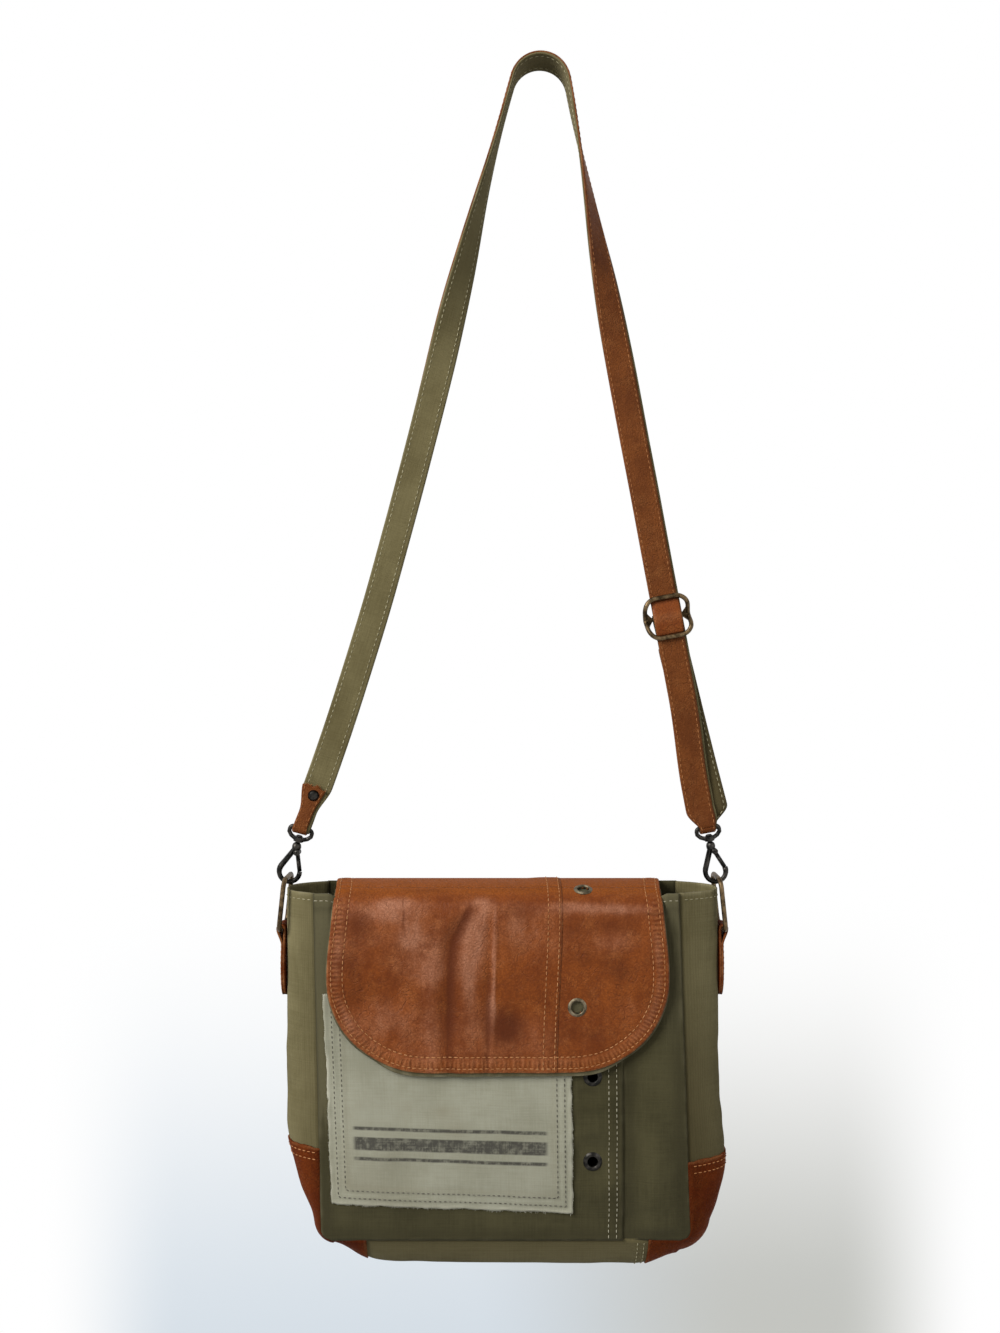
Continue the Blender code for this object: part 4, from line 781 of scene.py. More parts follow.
flap = {
    "shiftX": -0.0032, "backHalf": 0.1218, "topHalf": 0.1182, "half": 0.1222, "roundX": 0.070, "roundZ": 0.066,
    "splitY": -0.008, "seamTop": 0.0467, "seamTip": 0.0427, "lap": 0.0125, "seamRows": (0.0022, 0.0104),
    "leatherDepth": 0.0014, "liningDepth": 0.0008, "underLift": 0.0010, "overLift": 0.0016, "liningShows": 0.0030,
    "profile": ((0.0223, -0.0455), (0.0223, -0.032), (0.0223, -0.018), (0.0223, -0.008), (0.0219, -0.0035),
                (0.0205, -0.0008), (0.0180, 0.0004), (0.010, 0.0008), (0.002, 0.0006), (-0.006, -0.0003),
                (-0.0125, -0.0017), (-0.0180, -0.0040), (-0.0220, -0.0076), (-0.0241, -0.0128), (-0.0250, -0.0200),
                (-0.0254, -0.0300), (-0.0257, -0.0440), (-0.0257, -0.055), (-0.0254, -0.068), (-0.0250, -0.080),
                (-0.0250, -0.095), (-0.0251, -0.110), (-0.0254, -0.1268)),
    "topEyelet": (0.0621, -0.012), "frontEyelet": (0.0567, 0.080), "eyeletHole": 0.0050, "eyeletCalm": (0.008, 0.026),
    "frontRollY": -0.0175, "backRollY": 0.0215, "widens": 0.055, "rowStep": 0.0016, "roundRows": 54,
    # mean radius and turn of the round corners, for the way along the edge, and the two rows of stitches inside it
    "meanRound": 0.068, "quarter": 1.571, "edgeRows": (0.0030, 0.0112),
    "slant": ((0.0, -0.0175), (0.017, -0.0265), (0.034, -0.0345), (0.060, -0.0358), (0.130, -0.0370)),
    "waves": ((0.0017, 1.0, 0.7, 15.0, 31.0), (0.0008, 1.2, 1.0, 38.0, 33.0)), "pucker": (0.00028, 0.0076),
    # dents along a line: offset from it, reach, depth
    "dents": (("fold", 0.001, 0.0056, 0.0017), ("fold", 0.014, 0.009, -0.0009), ("middle", -0.0034, 0.0028, 0.0009),
              ("middle", 0.0, 0.0024, -0.0008), ("fold", -0.010, 0.007, -0.0008)),
    # strokes along a line: offset, reach left and right, strength, drop of the start, share and drop of the end
    # darkStrokes: painted shade down the folds and along the stitch grooves, partly darker leather
    "darkStrokes": (("fold", 0.001, 0.0026, 0.0068, 0.95, (0.0, 0.014), (0.45, 0.085, 0.12)),
                    ("middle", -0.0034, 0.0022, 0.0022, 0.60, (0.03, 0.06), None),
                    ("edge", 0.0030, 0.0009, 0.0009, 0.35, None, None),
                    ("edge", 0.0112, 0.0010, 0.0010, 0.35, None, None),
                    ("slash", 0.0, 0.0009, 0.0009, 0.75, (0.0, 0.006), (1.0, 0.022, 0.034))),
    # paleStrokes: painted highlights on the ridges beside the folds and on the middle crease, and a paler band between
    # the stitch rows, partly painted highlight
    "paleStrokes": (("fold", 0.014, 0.006, 0.006, 0.55, (0.0, 0.02), (1.0, 0.05, 0.09)),
                    ("middle", 0.0, 0.0012, 0.0012, 0.80, (0.0, 0.02), (1.0, 0.09, 0.10)),
                    ("fold", -0.012, 0.006, 0.006, 0.30, (0.02, 0.04), None),
                    ("edge", 0.0070, 0.0034, 0.0034, 0.40, (0.01, 0.04), None)),
    "slash": (-0.0682, 0.05), "slashDrop": 0.0125, "slashX": (0.104, 0.109),
    # soft marks by place from the middle and below the roll: width, height, strength
    # darkMarks: darker patches, partly darker leather, partly painted shade in dents and under the roll
    "darkMarks": ((-0.100, 0.020, 0.012, 0.012, 0.70), (-0.106, 0.047, 0.010, 0.012, 0.55),
                  (-0.102, 0.068, 0.012, 0.012, 0.45), (0.0065, 0.093, 0.012, 0.014, 1.20),
                  (0.060, 0.043, 0.014, 0.010, 0.45), (0.087, 0.052, 0.012, 0.012, 0.50),
                  (0.081, 0.021, 0.018, 0.006, 0.50), (0.054, 0.024, 0.010, 0.009, 0.35),
                  (0.068, 0.100, 0.020, 0.010, 0.40), (0.012, 0.010, 0.012, 0.008, 0.40),
                  (-0.056, 0.101, 0.014, 0.010, 0.25), (-0.052, -0.004, 0.022, 0.004, 0.45),
                  (0.028, -0.006, 0.016, 0.004, 0.35), (-0.100, -0.002, 0.014, 0.005, 0.35)),
    # paleMarks: paler patches, partly paler leather, partly painted sheen and highlights
    "paleMarks": ((-0.062, 0.028, 0.009, 0.010, 0.95), (-0.079, 0.012, 0.018, 0.006, 0.80),
                  (-0.072, 0.005, 0.014, 0.004, 0.60), (-0.012, 0.005, 0.008, 0.005, 0.70),
                  (-0.016, 0.026, 0.009, 0.016, 0.50), (-0.019, 0.060, 0.008, 0.030, 0.55),
                  (-0.052, 0.053, 0.020, 0.012, 0.60), (-0.079, 0.081, 0.024, 0.014, 0.50),
                  (-0.005, 0.080, 0.0032, 0.015, 0.95), (0.056, 0.009, 0.018, 0.0035, 0.75),
                  (0.088, 0.010, 0.022, 0.003, 0.70), (0.082, 0.032, 0.014, 0.007, 0.40),
                  (0.018, 0.022, 0.012, 0.010, 0.35), (0.092, 0.078, 0.014, 0.010, 0.30)),
}


def traceProfile(stops, steps=16):
    # smooth run through the stops, with the length so far at each point
    path = []
    for i in range(len(stops) - 1):
        a, b, c, d = (Vector(stops[min(max(k, 0), len(stops) - 1)]) for k in (i - 1, i, i + 1, i + 2))
        for k in range(steps):
            t = k / steps
            path.append(0.5 * (2 * b + (c - a) * t + (2 * a - 5 * b + 4 * c - d) * t * t
                               + (3 * b - a - 3 * c + d) * t ** 3))
    path.append(Vector(stops[-1]))
    reach = [0.0]
    for a, b in zip(path, path[1:]):
        reach.append(reach[-1] + (b - a).length)
    return np.array([tuple(p) for p in path]), np.array(reach)


flapPath, flapReach = traceProfile(flap["profile"])
flapEnd = float(flapReach[-1])
frontStart = float(np.interp(-flap["frontRollY"], -flapPath[:, 0], flapReach))
flapSplit = float(np.interp(-flap["splitY"], -flapPath[:, 0], flapReach))
topStart = float(np.interp(-flap["backRollY"], -flapPath[:, 0], flapReach))


def reachOfDrop(drop):
    front = flapReach > frontStart
    return float(np.interp(drop, -flapPath[front][:, 1], flapReach[front]))


def flapHalf(s):
    if s < frontStart:
        return blendTo(flap["backHalf"], flap["topHalf"], ease(s, topStart, frontStart))
    return blendTo(flap["topHalf"], flap["half"], ease(s - frontStart, 0.0, flap["widens"]))


def flapInset(s):
    past = (s - (flapEnd - flap["roundZ"])) / flap["roundZ"]
    return flap["roundX"] * (1.0 - math.sqrt(max(1.0 - past * past, 0.0))) if past > 0 else 0.0


def flapSeam(s):
    return blendTo(flap["seamTop"], flap["seamTip"], ease(s, frontStart, flapEnd))


def foldLine(s):
    # the long slanting fold left of the middle, then the soft middle crease
    drop = s - frontStart
    return softRamp(drop, flap["slant"], 0.008), -0.0018 - 0.020 * max(drop, 0.0)


def flapEdge(x, s):
    # distance in from the edge, and the way along it
    bend, rx, rz, mean = flapEnd - flap["roundZ"], flap["roundX"], flap["roundZ"], flap["meanRound"]
    inner = flapHalf(s) - rx
    if s <= bend:
        return flapHalf(s) - abs(x), s
    if abs(x) < inner:
        return flapEnd - s, bend + flap["quarter"] * mean + inner - abs(x)
    u, v = (abs(x) - inner) / rx, (s - bend) / rz
    return (1.0 - math.hypot(u, v)) * mean, bend + math.atan2(v, u) * mean


eyeletSpots = ((flap["topEyelet"][0], float(np.interp(-flap["topEyelet"][1], -flapPath[:, 0], flapReach))),
               (flap["frontEyelet"][0], reachOfDrop(flap["frontEyelet"][1])))


def flapSwell(x, s):
    drop = s - frontStart
    calm = 1.0
    for ex, es in eyeletSpots:
        calm *= ease(math.hypot(x - ex, s - es), *flap["eyeletCalm"])
    lines = dict(zip(("fold", "middle"), foldLine(s)))
    show = ease(drop, 0.004, 0.025) * (1.0 - 0.5 * ease(drop, 0.085, 0.125))
    dents = sum(depth * nearMark(x - lines[line] - at, reach) for line, at, reach, depth in flap["dents"])
    side = 0.0012 * ease(abs(x), 0.085, 0.122) * ease(drop, 0.02, 0.06)
    front = ease(s, flapSplit - 0.004, frontStart + 0.01)
    edge, along = flapEdge(x, s)
    height, pitch = flap["pucker"]
    pucker = height * math.sin(along * 2 * math.pi / pitch) * nearMark(edge - 0.0068, 0.0042)
    outer, inner = flap["edgeRows"]
    groove = -0.0003 * (nearMark(edge - outer, 0.0010) + nearMark(edge - inner, 0.0012))
    waves = waveSum(x, s, flap["waves"])
    return (waves * calm + 0.0004 - dents * show * calm + side * calm) * front + pucker + groove


def onProfile(s):
    past = max(s - flapEnd, 0.0)
    return Vector((0.0, float(np.interp(s, flapReach, flapPath[:, 0])),
                   float(np.interp(s, flapReach, flapPath[:, 1])) - past))


def flapOut(s):
    along = onProfile(s + 0.0010) - onProfile(max(s - 0.0010, 0.0))
    return along.normalized().cross(acrossX)


def flapPoint(x, s, lift):
    spot = onProfile(s)
    return bagPoint(flap["shiftX"] + x, spot.y, -spot.z) + flapOut(s) * (lift + flapSwell(x, s))


def flapRows(start, end):
    bend, turns = flapEnd - flap["roundZ"], flap["roundRows"]
    count = max(int((min(end, bend) - start) / flap["rowStep"]), 2)
    rows = [blendTo(start, min(end, bend), k / count) for k in range(count + 1)]
    if end > bend:
        rows += [bend + flap["roundZ"] * math.sin(math.pi / 2 * k / turns) for k in range(1, turns + 1)]
    return rows


def backLift(s):
    return ease(s, 0.036, topStart)


def strokeMarks(away, drop, strokes):
    total = 0.0
    for line, at, left, right, strength, start, end in strokes:
        off = away[line] - at
        mark = strength * nearMark(off, left if off < 0 else right)
        if start:
            mark *= ease(drop, *start)
        if end:
            mark *= 1.0 - end[0] * ease(drop, *end[1:])
        total += mark
    return total


def flapMarks(x, s, seamX):
    # worn edge, puckered border and way along it, dark creases (partly painted shade in the folds), paler tone and
    # painted sheen, amber roll and rim (the roll painted as lit from above)
    drop = s - frontStart
    fold, middle = foldLine(s)
    edge, along = flapEdge(x, s)
    slashX, slope = flap["slash"]
    away = {"fold": x - fold, "middle": x - middle, "edge": edge, "slash": x - slashX - slope * drop}
    rub = 0.55 + ripple(x, s, 130.0, 12.0)
    seam = 0.6 * nearMark(x - seamX, 0.0014) if seamX < 0.1 else 0.0
    wear = rub * (0.95 * nearMark(edge, 0.0016) + seam)
    border = nearMark(edge - 0.0052, 0.0036) * ease(drop, -0.004, 0.010)
    dark = strokeMarks(away, drop, flap["darkStrokes"]) + softMarks(x, drop, flap["darkMarks"])
    dark += 0.80 * nearMark(drop - flap["slashDrop"], 0.0009) * ease(x, *flap["slashX"])
    pale = strokeMarks(away, drop, flap["paleStrokes"]) + softMarks(x, drop, flap["paleMarks"])
    # painted sheen in a band just under the roll; paler towards the foot
    pale += (0.34 - 0.14 * ease(x, 0.04, 0.06)) * ease(drop, 0.002, 0.008) * (1.0 - ease(drop, 0.03, 0.07))
    pale += (0.40 - 0.24 * ease(x, 0.030, 0.055)) * ease(drop, 0.070, 0.100)
    # amber: the top and roll, painted as lit from above, and a band along the lower border
    rim = 0.65 * nearMark(edge - 0.0060, 0.0048) * ease(drop, 0.085, 0.115)
    return wear, border, along, min(dark, 1.0), min(pale, 1.0), max(1.0 - ease(drop, -0.005, 0.004), rim)


def makeFlapSkin(name, start, end, leftAt, rightAt, liftAt, depth, cols, grow=0.0, holes=True):
    cells = []
    for s in flapRows(start, end):
        half = flapHalf(s) + grow * (0.2 + 0.8 * ease(s, flapEnd - flap["roundZ"], flapEnd)) - flapInset(s)
        left, right = max(leftAt(s), -half), min(rightAt(s), half)
        grown = s + grow * ease(s, flapEnd - 0.01, flapEnd)
        line = []
        for c in spread(cols):
            x = blendTo(left, right, c)
            lift = liftAt(x, s) + depth - 0.0005 * nearMark(flapEdge(x, s)[0] + grow, 0.0010)
            line.append((flapPoint(x, grown, lift), (x, s), *flapMarks(x, s, rightAt(s))))
        cells.append(line)
    spots = [flapPoint(x, s, liftAt(x, s) + depth) for x, s in eyeletSpots] if holes else None
    keys = ("wear", "border", "along", "crease", "paleToneAndSheen", "amber")
    return laySkin(name, cells, keys, depth, True, spots, flap["eyeletHole"])


hingeBlend = ("bag", "flap_top", (-0.028, 0.0235, -0.6135), (-0.028, 0.0150, -0.6105))
foldBlend = ("flap_top", "flap_front", (-0.028, -0.0215, -0.6140), (-0.028, -0.0275, -0.6200))


def overLift(x, s):
    # laid over the right ply near the seam, pared thin at its edge
    seam = flapSeam(s)
    rise = (flap["overLift"] - flap["underLift"]) * ease(x, seam - 0.026, seam - 0.013)
    return flap["underLift"] * backLift(s) + rise - 0.0004 * nearMark(x - seam, 0.0020)


def underLift(x, s):
    return flap["underLift"] * backLift(s)


def liningLift(x, s):
    return 0.0


def farLeft(s):
    return -1.0


def farRight(s):
    return 1.0


def lapEdge(s):
    return flapSeam(s) - flap["lap"]


flapHalves = (("Left", farLeft, flapSeam, overLift, 110), ("Right", lapEdge, farRight, underLift, 64))
for word, leftAt, rightAt, liftAt, cols in flapHalves:
    tops = ["flap_top_" + word.lower()] + (["flap_back_strip"] if word == "Left" else [])
    skin = makeFlapSkin("flapTop" + word, 0.0, flapSplit, leftAt, rightAt, liftAt, flap["leatherDepth"], cols)
    settle(skin, leather["flap"], "tan_leather", between=hingeBlend, nodes=tops)
    skin = makeFlapSkin("flapFront" + word, flapSplit, flapEnd, leftAt, rightAt, liftAt, flap["leatherDepth"], cols)
    settle(skin, leather["flap"], "tan_leather", between=foldBlend, nodes=["flap_front_" + word.lower()])
skin = makeFlapSkin("flapTopLining", topStart, flapSplit, farLeft, farRight, liningLift, flap["liningDepth"], 90,
                    0.0004, False)
settle(skin, canvas["lining"], "lining_cloth", between=hingeBlend, nodes=["flap_top_lining"])
skin = makeFlapSkin("flapFrontLining", flapSplit, flapEnd, farLeft, farRight, liningLift, flap["liningDepth"], 130,
                    flap["liningShows"], False)
settle(skin, canvas["lining"], "lining_cloth", between=foldBlend, nodes=["flap_front_lining"])
print("flap made")


# node trees for the rows: stitches along a seam, and loose threads along a torn edge

def startRows(name, step, inputs):
    # points at every step along the rows, and the named inputs
    graph = Graph(bpy.data.node_groups.new(name, "GeometryNodeTree"))
    face = graph.tree.interface
    face.new_socket(name="Geometry", in_out="INPUT", socket_type="NodeSocketGeometry")
    for key, value in inputs:
        kind = "NodeSocketInt" if isinstance(value, int) else "NodeSocketFloat"
        face.new_socket(name=key, in_out="INPUT", socket_type=kind).default_value = value
    face.new_socket(name="Material", in_out="INPUT", socket_type="NodeSocketMaterial")
    face.new_socket(name="Geometry", in_out="OUTPUT", socket_type="NodeSocketGeometry")
    ins = {slot.name: Wire(graph.tree, slot) for slot in graph.tree.nodes.new("NodeGroupInput").outputs}
    curve = graph.node("GeometryNodeMeshToCurve", None, {0: ins["Geometry"]})
    points = graph.node("GeometryNodeResampleCurve", {"mode": "LENGTH"}, {"Curve": curve, "Length": ins[step]})
    return graph, ins, points


def endRows(graph, points, shape, turn, size, material):
    sockets = {"Points": points, "Instance": shape, "Rotation": turn, "Scale": size}
    laid = graph.node("GeometryNodeInstanceOnPoints", None, sockets)
    real = graph.node("GeometryNodeRealizeInstances", None, {0: laid})
    painted = graph.node("GeometryNodeSetMaterial", None, {"Geometry": real, "Material": material})
    plug(graph.tree, graph.tree.nodes.new("NodeGroupOutput").inputs[0], painted)
    return graph.tree


def chance(graph, low, high, seed):
    return graph.node("FunctionNodeRandomValue", {"data_type": "FLOAT"}, {"Min": low, "Max": high, "Seed": seed}, 1)


def facing(graph, axis, vector):
    return graph.node("FunctionNodeAlignEulerToVector", {"axis": axis}, {"Vector": vector})


def buildStitchTree():
    graph, ins, points = startRows("sewnRow", "Pitch", (
        ("Pitch", 0.004), ("Stitch Length", 0.003), ("Thread Width", 0.0008), ("Seed", 3)))
    turn = facing(graph, "X", graph.node("GeometryNodeInputTangent"))
    bead = graph.node("GeometryNodeMeshIcoSphere", None, {"Radius": 0.5, "Subdivisions": 2})
    length, width = ins["Stitch Length"] * chance(graph, 0.86, 1.08, ins["Seed"]), ins["Thread Width"]
    size = graph.node("ShaderNodeCombineXYZ", None, {0: length, 1: width, 2: width})
    return endRows(graph, points, bead, turn, size, ins["Material"])


def buildFrayTree():
    graph, ins, points = startRows("tornEdge", "Spacing", (
        ("Spacing", 0.0012), ("Length", 0.003), ("Thread Width", 0.0003), ("Spread", 0.6), ("Seed", 5)))
    lean = graph.node("GeometryNodeInputNamedAttribute", {"data_type": "FLOAT_VECTOR"}, {"Name": "lean"})
    swing = chance(graph, ins["Spread"] * -1.0, ins["Spread"], ins["Seed"])
    tip = graph.node("ShaderNodeCombineXYZ", None, {0: swing, 1: swing})
    turn = graph.node("FunctionNodeRotateEuler", {"space": "LOCAL"}, {
        "Rotation": facing(graph, "Z", lean), "Rotate By": tip})
    cone = graph.node("GeometryNodeMeshCone", {"fill_type": "NONE"}, {
        "Vertices": 4, "Side Segments": 2, "Radius Top": 0.3, "Radius Bottom": 1.0, "Depth": 1.0})
    length, half = ins["Length"] * chance(graph, 0.15, 1.0, ins["Seed"]), ins["Thread Width"] * 0.5
    size = graph.node("ShaderNodeCombineXYZ", None, {0: half, 1: half, 2: length})
    return endRows(graph, points, cone, turn, size, ins["Material"])


sewnRow, tornEdge = buildStitchTree(), buildFrayTree()


def layRows(name, rows, leans=None):
    verts = [p for row in rows for p in row]
    edges, first = [], 0
    for row in rows:
        edges += [(first + k, first + k + 1) for k in range(len(row) - 1)]
        first += len(row)
    mesh = bpy.data.meshes.new(name)
    mesh.from_pydata(verts, edges, [])
    if leans:
        flat = np.array([tuple(v) for row in leans for v in row], np.float32).ravel()
        mesh.attributes.new("lean", "FLOAT_VECTOR", "POINT").data.foreach_set("vector", flat)
    obj = bpy.data.objects.new(name, mesh)
    bpy.context.scene.collection.objects.link(obj)
    return obj


def growRows(obj, tree, values):
    grown = obj.modifiers.new("rows", "NODES")
    grown.node_group = tree
    for item in tree.interface.items_tree:
        if item.in_out == "INPUT" and item.name in values:
            grown[item.identifier] = values[item.name]
    bakeMesh(obj)
    obj.data.shade_smooth()
    return obj


# thread, slot, pitch, stitch length and thread width of each seam
seams = {
    "patch": ("dark", "patch_canvas", 0.0036, 0.0022, 0.0007),
    "panel": ("cream", "olive_canvas", 0.0040, 0.0026, 0.0006),
    "back": ("olive", "olive_canvas", 0.0042, 0.0031, 0.0008),
    "corner": ("tan", "dark_leather", 0.0038, 0.0027, 0.0007),
    "gusset": ("olive", "light_canvas", 0.0042, 0.0028, 0.0007),
    "flap": ("tan", "tan_leather", 0.0040, 0.0030, 0.00075),
    "tab": ("tan", "dark_leather", 0.0036, 0.0026, 0.00068),
    "strapLeather": ("amber", "tan_leather", 0.0042, 0.0030, 0.00072),
    "strapCanvas": ("olive", "light_canvas", 0.0042, 0.0029, 0.00070),
}
# thread, slot, spacing, length, thread width and spread of each torn edge
frays = {
    "patch": ("pale", "patch_canvas", 0.0014, 0.0019, 0.00032, 0.8),
    "tail": ("tan", "tan_leather", 0.0007, 0.0030, 0.00034, 0.9),
}


def sew(name, rows, seam, **place):
    tone, slot, pitch, length, width = seams[seam]
    values = {"Pitch": pitch, "Stitch Length": length, "Thread Width": width, "Material": thread[tone]}
    return settle(growRows(layRows(name, rows), sewnRow, values), thread[tone], slot, **place)


def fray(name, row, leans, edge, **place):
    tone, slot, spacing, length, width, apart = frays[edge]
    values = {"Spacing": spacing, "Length": length, "Thread Width": width, "Spread": apart, "Material": thread[tone]}
    return settle(growRows(layRows(name, [row], [leans]), tornEdge, values), thread[tone], slot, **place)


# patch on the front: torn canvas with two sewn rows

patch = {
    "corners": ((-0.1290, 0.0727), (0.0494, 0.0727), (-0.1225, 0.2222), (0.0505, 0.2294)),
    "width": 0.1765, "height": 0.1530, "depth": 0.0008, "standOff": 0.0010, "tear": 0.0009, "rows": (0.0052, 0.0108),
    "cols": 130, "lines": 110, "span": 0.175, "aspect": 0.87, "tearReach": 0.004,
    "pucker": 0.00022, "puckerPitch": 0.0056, "puckerEdge": (0.010, 0.016), "curl": 0.0007, "soft": 0.0005,
    # across, down, width, height and strength of the old stains
    "stains": ((0.30, 0.52, 0.05, 0.04, 0.35), (0.47, 0.55, 0.08, 0.03, 0.40), (0.52, 0.62, 0.05, 0.04, 0.45),
               (0.16, 0.56, 0.07, 0.05, 0.30), (0.80, 0.66, 0.08, 0.06, 0.22), (0.10, 0.88, 0.10, 0.08, 0.30)),
}


def patchPlace(u, v):
    (ax, ad), (bx, bd), (cx, cd), (dx, dd) = patch["corners"]
    x = blendTo(blendTo(ax, bx, u), blendTo(cx, dx, u), v)
    drop = blendTo(blendTo(ad, bd, u), blendTo(cd, dd, u), v)
    edge = min(u, 1.0 - u, v * patch["aspect"], (1.0 - v) * patch["aspect"]) * patch["span"]
    ragged = ripple(x, drop, 90.0, 41.0) + 0.7 * ripple(x, drop, 320.0, 43.0)
    slip = patch["tear"] * ragged * (1.0 - ease(edge, 0.0, patch["tearReach"]))
    return x + slip * (1.0 if u > 0.5 else -1.0), drop + slip * (1.0 if v > 0.5 else -1.0), edge


def patchPoint(u, v, lift):
    x, drop, edge = patchPlace(u, v)
    pucker = patch["pucker"] * math.sin(edge * 2 * math.pi / patch["puckerPitch"] + 1.0)
    pucker *= 1.0 - ease(edge, *patch["puckerEdge"])
    curl = patch["curl"] * nearMark(edge, 0.0025) * (0.3 + ripple(x, drop, 45.0, 47.0)) * ease(drop, 0.12, 0.15)
    soft = patch["soft"] * ripple(x, drop, 28.0, 49.0) * ease(edge, 0.0, 0.02) * ease(drop, 0.12, 0.16)
    return bagPoint(x, frontY(x, drop) - patch["standOff"] - lift - pucker - max(curl, 0.0) - soft, drop)


def makePatch():
    cells = []
    for v in spread(patch["lines"]):
        line = []
        for u in spread(patch["cols"]):
            x, drop, edge = patchPlace(u, v)
            wear = (0.5 + ripple(x, drop, 100.0, 51.0)) * 0.9 * nearMark(edge, 0.0028)
            stain = 0.42 * ease(0.55 - u, 0.0, 0.5) * ease(v, 0.45, 0.95) * (0.6 + ripple(x, drop, 22.0, 53.0))
            stain = max(stain, 0.0) + softMarks(u, v, patch["stains"]) * (0.7 + ripple(x, drop, 60.0, 55.0))
            # darker just inside the stitches, and painted shade along the top, which lies under the flap
            grimeAndShade = stain + 0.25 * nearMark(edge - 0.013, 0.002) + 0.18 * ease(0.25 - v, 0.0, 0.2)
            line.append((patchPoint(u, v, 0.0), (u * patch["width"], v * patch["height"]), wear, grimeAndShade))
        cells.append(line)
    obj = laySkin("frontPatch", cells, ("wear", "grimeAndShade"), patch["depth"], True)
    return settle(obj, canvas["patch"], "patch_canvas", "bag", nodes=["front_patch"])


def patchRing(inset, lift, count=60):
    a, b = inset / patch["width"], inset / patch["height"]
    ring = [(u, b) for u in np.linspace(a, 1 - a, count)] + [(1 - a, v) for v in np.linspace(b, 1 - b, count)]
    ring += [(u, 1 - b) for u in np.linspace(1 - a, a, count)] + [(a, v) for v in np.linspace(1 - b, b, count)]
    return [patchPoint(u, v, lift) for u, v in ring]


makePatch()
patchRows = [patchRing(inset, 0.0001) for inset in patch["rows"]]
sew("patchStitches", patchRows, "patch", body="bag")
middle = patchPoint(0.5, 0.5, 0.0)
edgeRow = patchRing(0.0004, -0.0004, 90)
edgeLeans = [(p - middle).normalized() + Vector((0, -0.2, 0)) for p in edgeRow]
fray("patchFray", edgeRow, edgeLeans, "patch", body="bag")
print("patch made")


# sewn rows of the bag and the flap

rowLift = 0.0002


def downFront(inset, start, end):
    return [frontSpot(seamAt(d) - inset, d, rowLift) for d in np.linspace(start, end, 60)]


def acrossFront(left, right):
    return [frontSpot(x, body["hemRow"], rowLift) for x in np.linspace(left, right, 70)]


def acrossBack(drop, left, right):
    return [bagPoint(x, backY(x, drop) + rowLift, drop) for x in np.linspace(left, right, 60)]


seamRows = [downFront(inset, 0.004, 0.247) for inset in (0.0045, 0.0102)]
hemRows = [acrossFront(leftEdge(0) + 0.002, 0.0855), acrossFront(0.1135, rightEdge(0) - 0.002)]
sew("panelStitches", seamRows + hemRows, "panel", body="bag")
sew("backStitches", [acrossBack(body["hemRow"], -0.131, 0.131)], "back", body="bag")


def gussetBand(side, s, lift):
    return [gussetPlace(side, s, q, lift) for q in np.linspace(-0.93, 0.93, 30)]


cornerRows = []
for side in (-1, 1):
    cornerRows += [gussetBand(side, cornerSpans[side][0] + k, 0.0015) for k in (0.0035, 0.0085)]
sew("cornerStitches", cornerRows, "corner", body="bag")
canvasRows = [gussetBand(side, 0.005, 0.0002) for side in (-1, 1)]
canvasRows += [gussetBand(1, cornerSpans[1][1] + k, 0.0003) for k in (0.0030, 0.0075)]
sew("gussetStitches", canvasRows, "gusset", body="bag")


def flapOuterLift(x, s):
    rest = overLift(x, s) if x < flapSeam(s) else underLift(x, s)
    return rest + flap["leatherDepth"] + 0.0001


def flapOutline(inset, start):
    # down the left edge, round both lower corners and up the right edge
    rx, rz = flap["roundX"] - inset, flap["roundZ"] - inset
    bend = flapEnd - flap["roundZ"]
    side = [(flapHalf(s) - inset, s) for s in np.linspace(start, bend, 60)]
    half = flapHalf(bend) - inset
    side += [(half - rx * (1.0 - math.cos(a)), bend + rz * math.sin(a)) for a in np.linspace(0.03, math.pi / 2, 40)]
    foot = [(x, side[-1][1]) for x in np.linspace(-side[-1][0], side[-1][0], 50)[1:-1]]
    whole = [(-x, s) for x, s in side] + foot + [(x, s) for x, s in side[::-1]]
    return [flapPoint(x, s, flapOuterLift(x, s)) for x, s in whole]


def flapSeamRow(k, start, end):
    return [flapPoint(flapSeam(s) - k, s, flapOuterLift(flapSeam(s) - k, s)) for s in np.linspace(start, end, 80)]


def flapSides(inset, start, end):
    rows = []
    for sign in (-1, 1):
        rows.append([flapPoint(sign * (flapHalf(s) - inset), s, flapOuterLift(sign * (flapHalf(s) - inset), s))
                     for s in np.linspace(start, end, 50)])
    return rows


frontRows = [flapOutline(k, flapSplit) for k in flap["edgeRows"]]
frontRows += [flapSeamRow(k, flapSplit, flapEnd - 0.003) for k in flap["seamRows"]]
sew("flapFrontStitches", frontRows, "flap", between=foldBlend)
topRows = [row for k in flap["edgeRows"] for row in flapSides(k, 0.004, flapSplit)]
topRows += [flapSeamRow(k, 0.003, flapSplit) for k in flap["seamRows"]]
topRows += [[flapPoint(x, s, flapOuterLift(x, s)) for x in np.linspace(-0.115, 0.115, 70)] for s in (0.003, 0.0112)]
sew("flapTopStitches", topRows, "flap", between=hingeBlend)
print("bag and flap sewn")


# leather tabs that hold the rings on the folded gussets

tabSizes = {"ringX": 0.16285, "footZ": -0.641445, "length": 0.050, "half": 0.010, "depth": 0.0015, "fold": 0.00205,
            "pinch": 0.012, "gap": 0.0003, "topHalf": 0.0072, "rowInset": 0.0026, "rowSpan": (0.26, 0.955)}


def tabHalf(share):
    # narrow at the ring, widest half way down, rounded at the tip
    if share < 0.5:
        return blendTo(tabSizes["topHalf"], tabSizes["half"], ease(share, 0.0, 0.5))
    past = (share - 0.5) / 0.5
    return tabSizes["half"] * math.sqrt(max(1.0 - 0.985 * past ** 2.6, 0.0))


